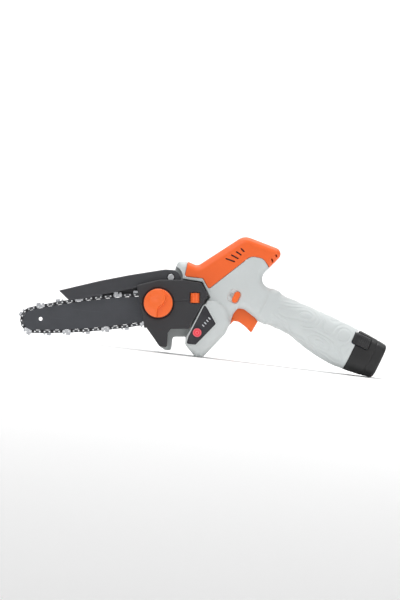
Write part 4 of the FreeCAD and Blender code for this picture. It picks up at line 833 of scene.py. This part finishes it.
# ---------------------------------------------------------------- battery
def build_battery():
    cells = Cells((183.0, -25.6, -0.4), (243.5, 25.6, 62.0), 0.5)
    g = grip_frame(cells)
    skin = sleeve(cells, CAP_SECTIONS)
    waist = 0.5 * np.exp(-((g.u - 26.0) / 0.8) ** 2)
    body = meet(meet(skin + waist, g.u - PACK_LENGTH, 5.0), 0.1 - g.u, 0.6)
    body = carve(body, meet(skin + 2.3, g.u - PACK_LENGTH + 3.0, 3.0), 0.4)
    pad = oblong(g.u, g.v, -LATCH_REACH, 17.5, 8.0, 24.0, 2.6)
    body = carve(body, np.maximum(pad - 0.35, 8.0 - np.abs(cells.y)), 0.7)
    body = meet(body, 0.02 - cells.z, 0.8)
    piece("battery_shell", cells, body, "battery", ["battery_cap"], "battery_black", 1500)
    ribs = 0.55 * (0.5 + 0.5 * np.cos(2 * math.pi * (g.u - 2.0) / 2.6))
    ribs = ribs * ease(g.u, 1.0, 2.4) * ease(-g.u, -16.0, -14.6)
    ribs = ribs * ease(g.v, 9.0, 10.4) * ease(-g.v, -22.8, -21.4)
    flank = sleeve(cells, [(-8.0, -27.7, 27.7, 24.6, 2.9), *CAP_SECTIONS[:2]])
    press = meet(meet(flank - 0.95 + ribs, pad, 1.6), -(flank + 2.4), 0.3)
    for side, name in ((-1, "left"), (1, "right")):
        field = np.maximum(press, 8.0 - side * cells.y)
        piece("release_pad_" + name, cells, field, "latch_" + name, ["latch_" + name], "latch_black", 200)


build_battery()


# ---------------------------------------------------------------- floor, light and camera
def floor_and_backdrop():
    """One pale sweep: flat under the saw and rising far behind it."""
    profile = [(-4.0, 0.0)] + [(1.6 + 1.2 * math.sin(a), 1.2 - 1.2 * math.cos(a))
                               for a in np.linspace(0, math.pi / 2, 24)] + [(2.8, 6.0)]
    points = [(x, y, z - 0.0002) for x in (-6.0, 6.0) for y, z in profile]
    count = len(profile)
    faces = [(i, i + count, i + count + 1, i + 1) for i in range(count - 1)]
    mesh = bpy.data.meshes.new("floor")
    mesh.from_pydata(points, [], faces)
    mesh.shade_smooth()
    floor = bpy.data.objects.new("floor", mesh)
    bpy.context.scene.collection.objects.link(floor)
    n = Nodes("floor_paper")
    n.link(n.mix(n.span(n.noise(3.0, 3.0), 0.3, 0.7, 0.0, 1.0), srgb(251, 251, 251), srgb(253, 253, 253)),
           n.shader.inputs["Base Color"])
    n.shader.inputs["Roughness"].default_value = 0.85
    n.link(n.bump(n.noise(300.0), 0.05, 0.0002), n.shader.inputs["Normal"])
    mesh.materials.append(n.material)


def area_light(name, at, aim, size, power, colour=(1.0, 1.0, 1.0)):
    data = bpy.data.lights.new(name, "AREA")
    data.shape = "RECTANGLE"
    data.size, data.size_y = size
    data.energy = power
    data.color = colour
    light = bpy.data.objects.new(name, data)
    light.location = at
    light.rotation_euler = (Vector(aim) - Vector(at)).to_track_quat("-Z", "Y").to_euler()
    bpy.context.scene.collection.objects.link(light)


def world_light(strength):
    world = bpy.data.worlds.new("studio")
    bpy.context.scene.world = world
    world.use_nodes = True
    back = world.node_tree.nodes["Background"]
    back.inputs["Color"].default_value = (1.0, 1.0, 1.0, 1.0)
    back.inputs["Strength"].default_value = strength


def camera():
    """Square on to the knob side, turned so that the saw hangs nose up as it is held."""
    lean = math.radians(6.9)
    right = Vector((math.cos(lean), 0.0, math.sin(lean)))
    up = Vector((-math.sin(lean), 0.0, math.cos(lean)))
    back = right.cross(up)
    distance = 2.2
    data = bpy.data.cameras.new("camera")
    data.sensor_width = 36.0
    data.lens = 36.0 * distance / 0.782
    data.clip_start = 0.05
    data.clip_end = 30.0
    cam = bpy.data.objects.new("camera", data)
    turn = Matrix((right, up, back)).transposed().to_4x4()
    cam.matrix_world = Matrix.Translation(Vector((-0.0085, -0.02, 0.0740)) + back * distance) @ turn
    bpy.context.scene.collection.objects.link(cam)
    bpy.context.scene.camera = cam


floor_and_backdrop()
area_light("key", (-0.9, -1.5, 1.5), (0.0, 0.0, 0.07), (1.4, 1.0), 14.5)
area_light("fill", (1.3, -1.4, 0.7), (0.0, 0.0, 0.07), (1.2, 1.2), 6.0)
area_light("backdrop", (0.0, 0.2, 2.6), (0.0, 2.8, 0.5), (4.0, 0.8), 95.0)
area_light("over", (0.0, 0.4, 1.8), (0.0, 0.0, 0.0), (2.0, 1.2), 7.0)
world_light(0.37)
camera()
bpy.context.scene.view_settings.view_transform = "Standard"
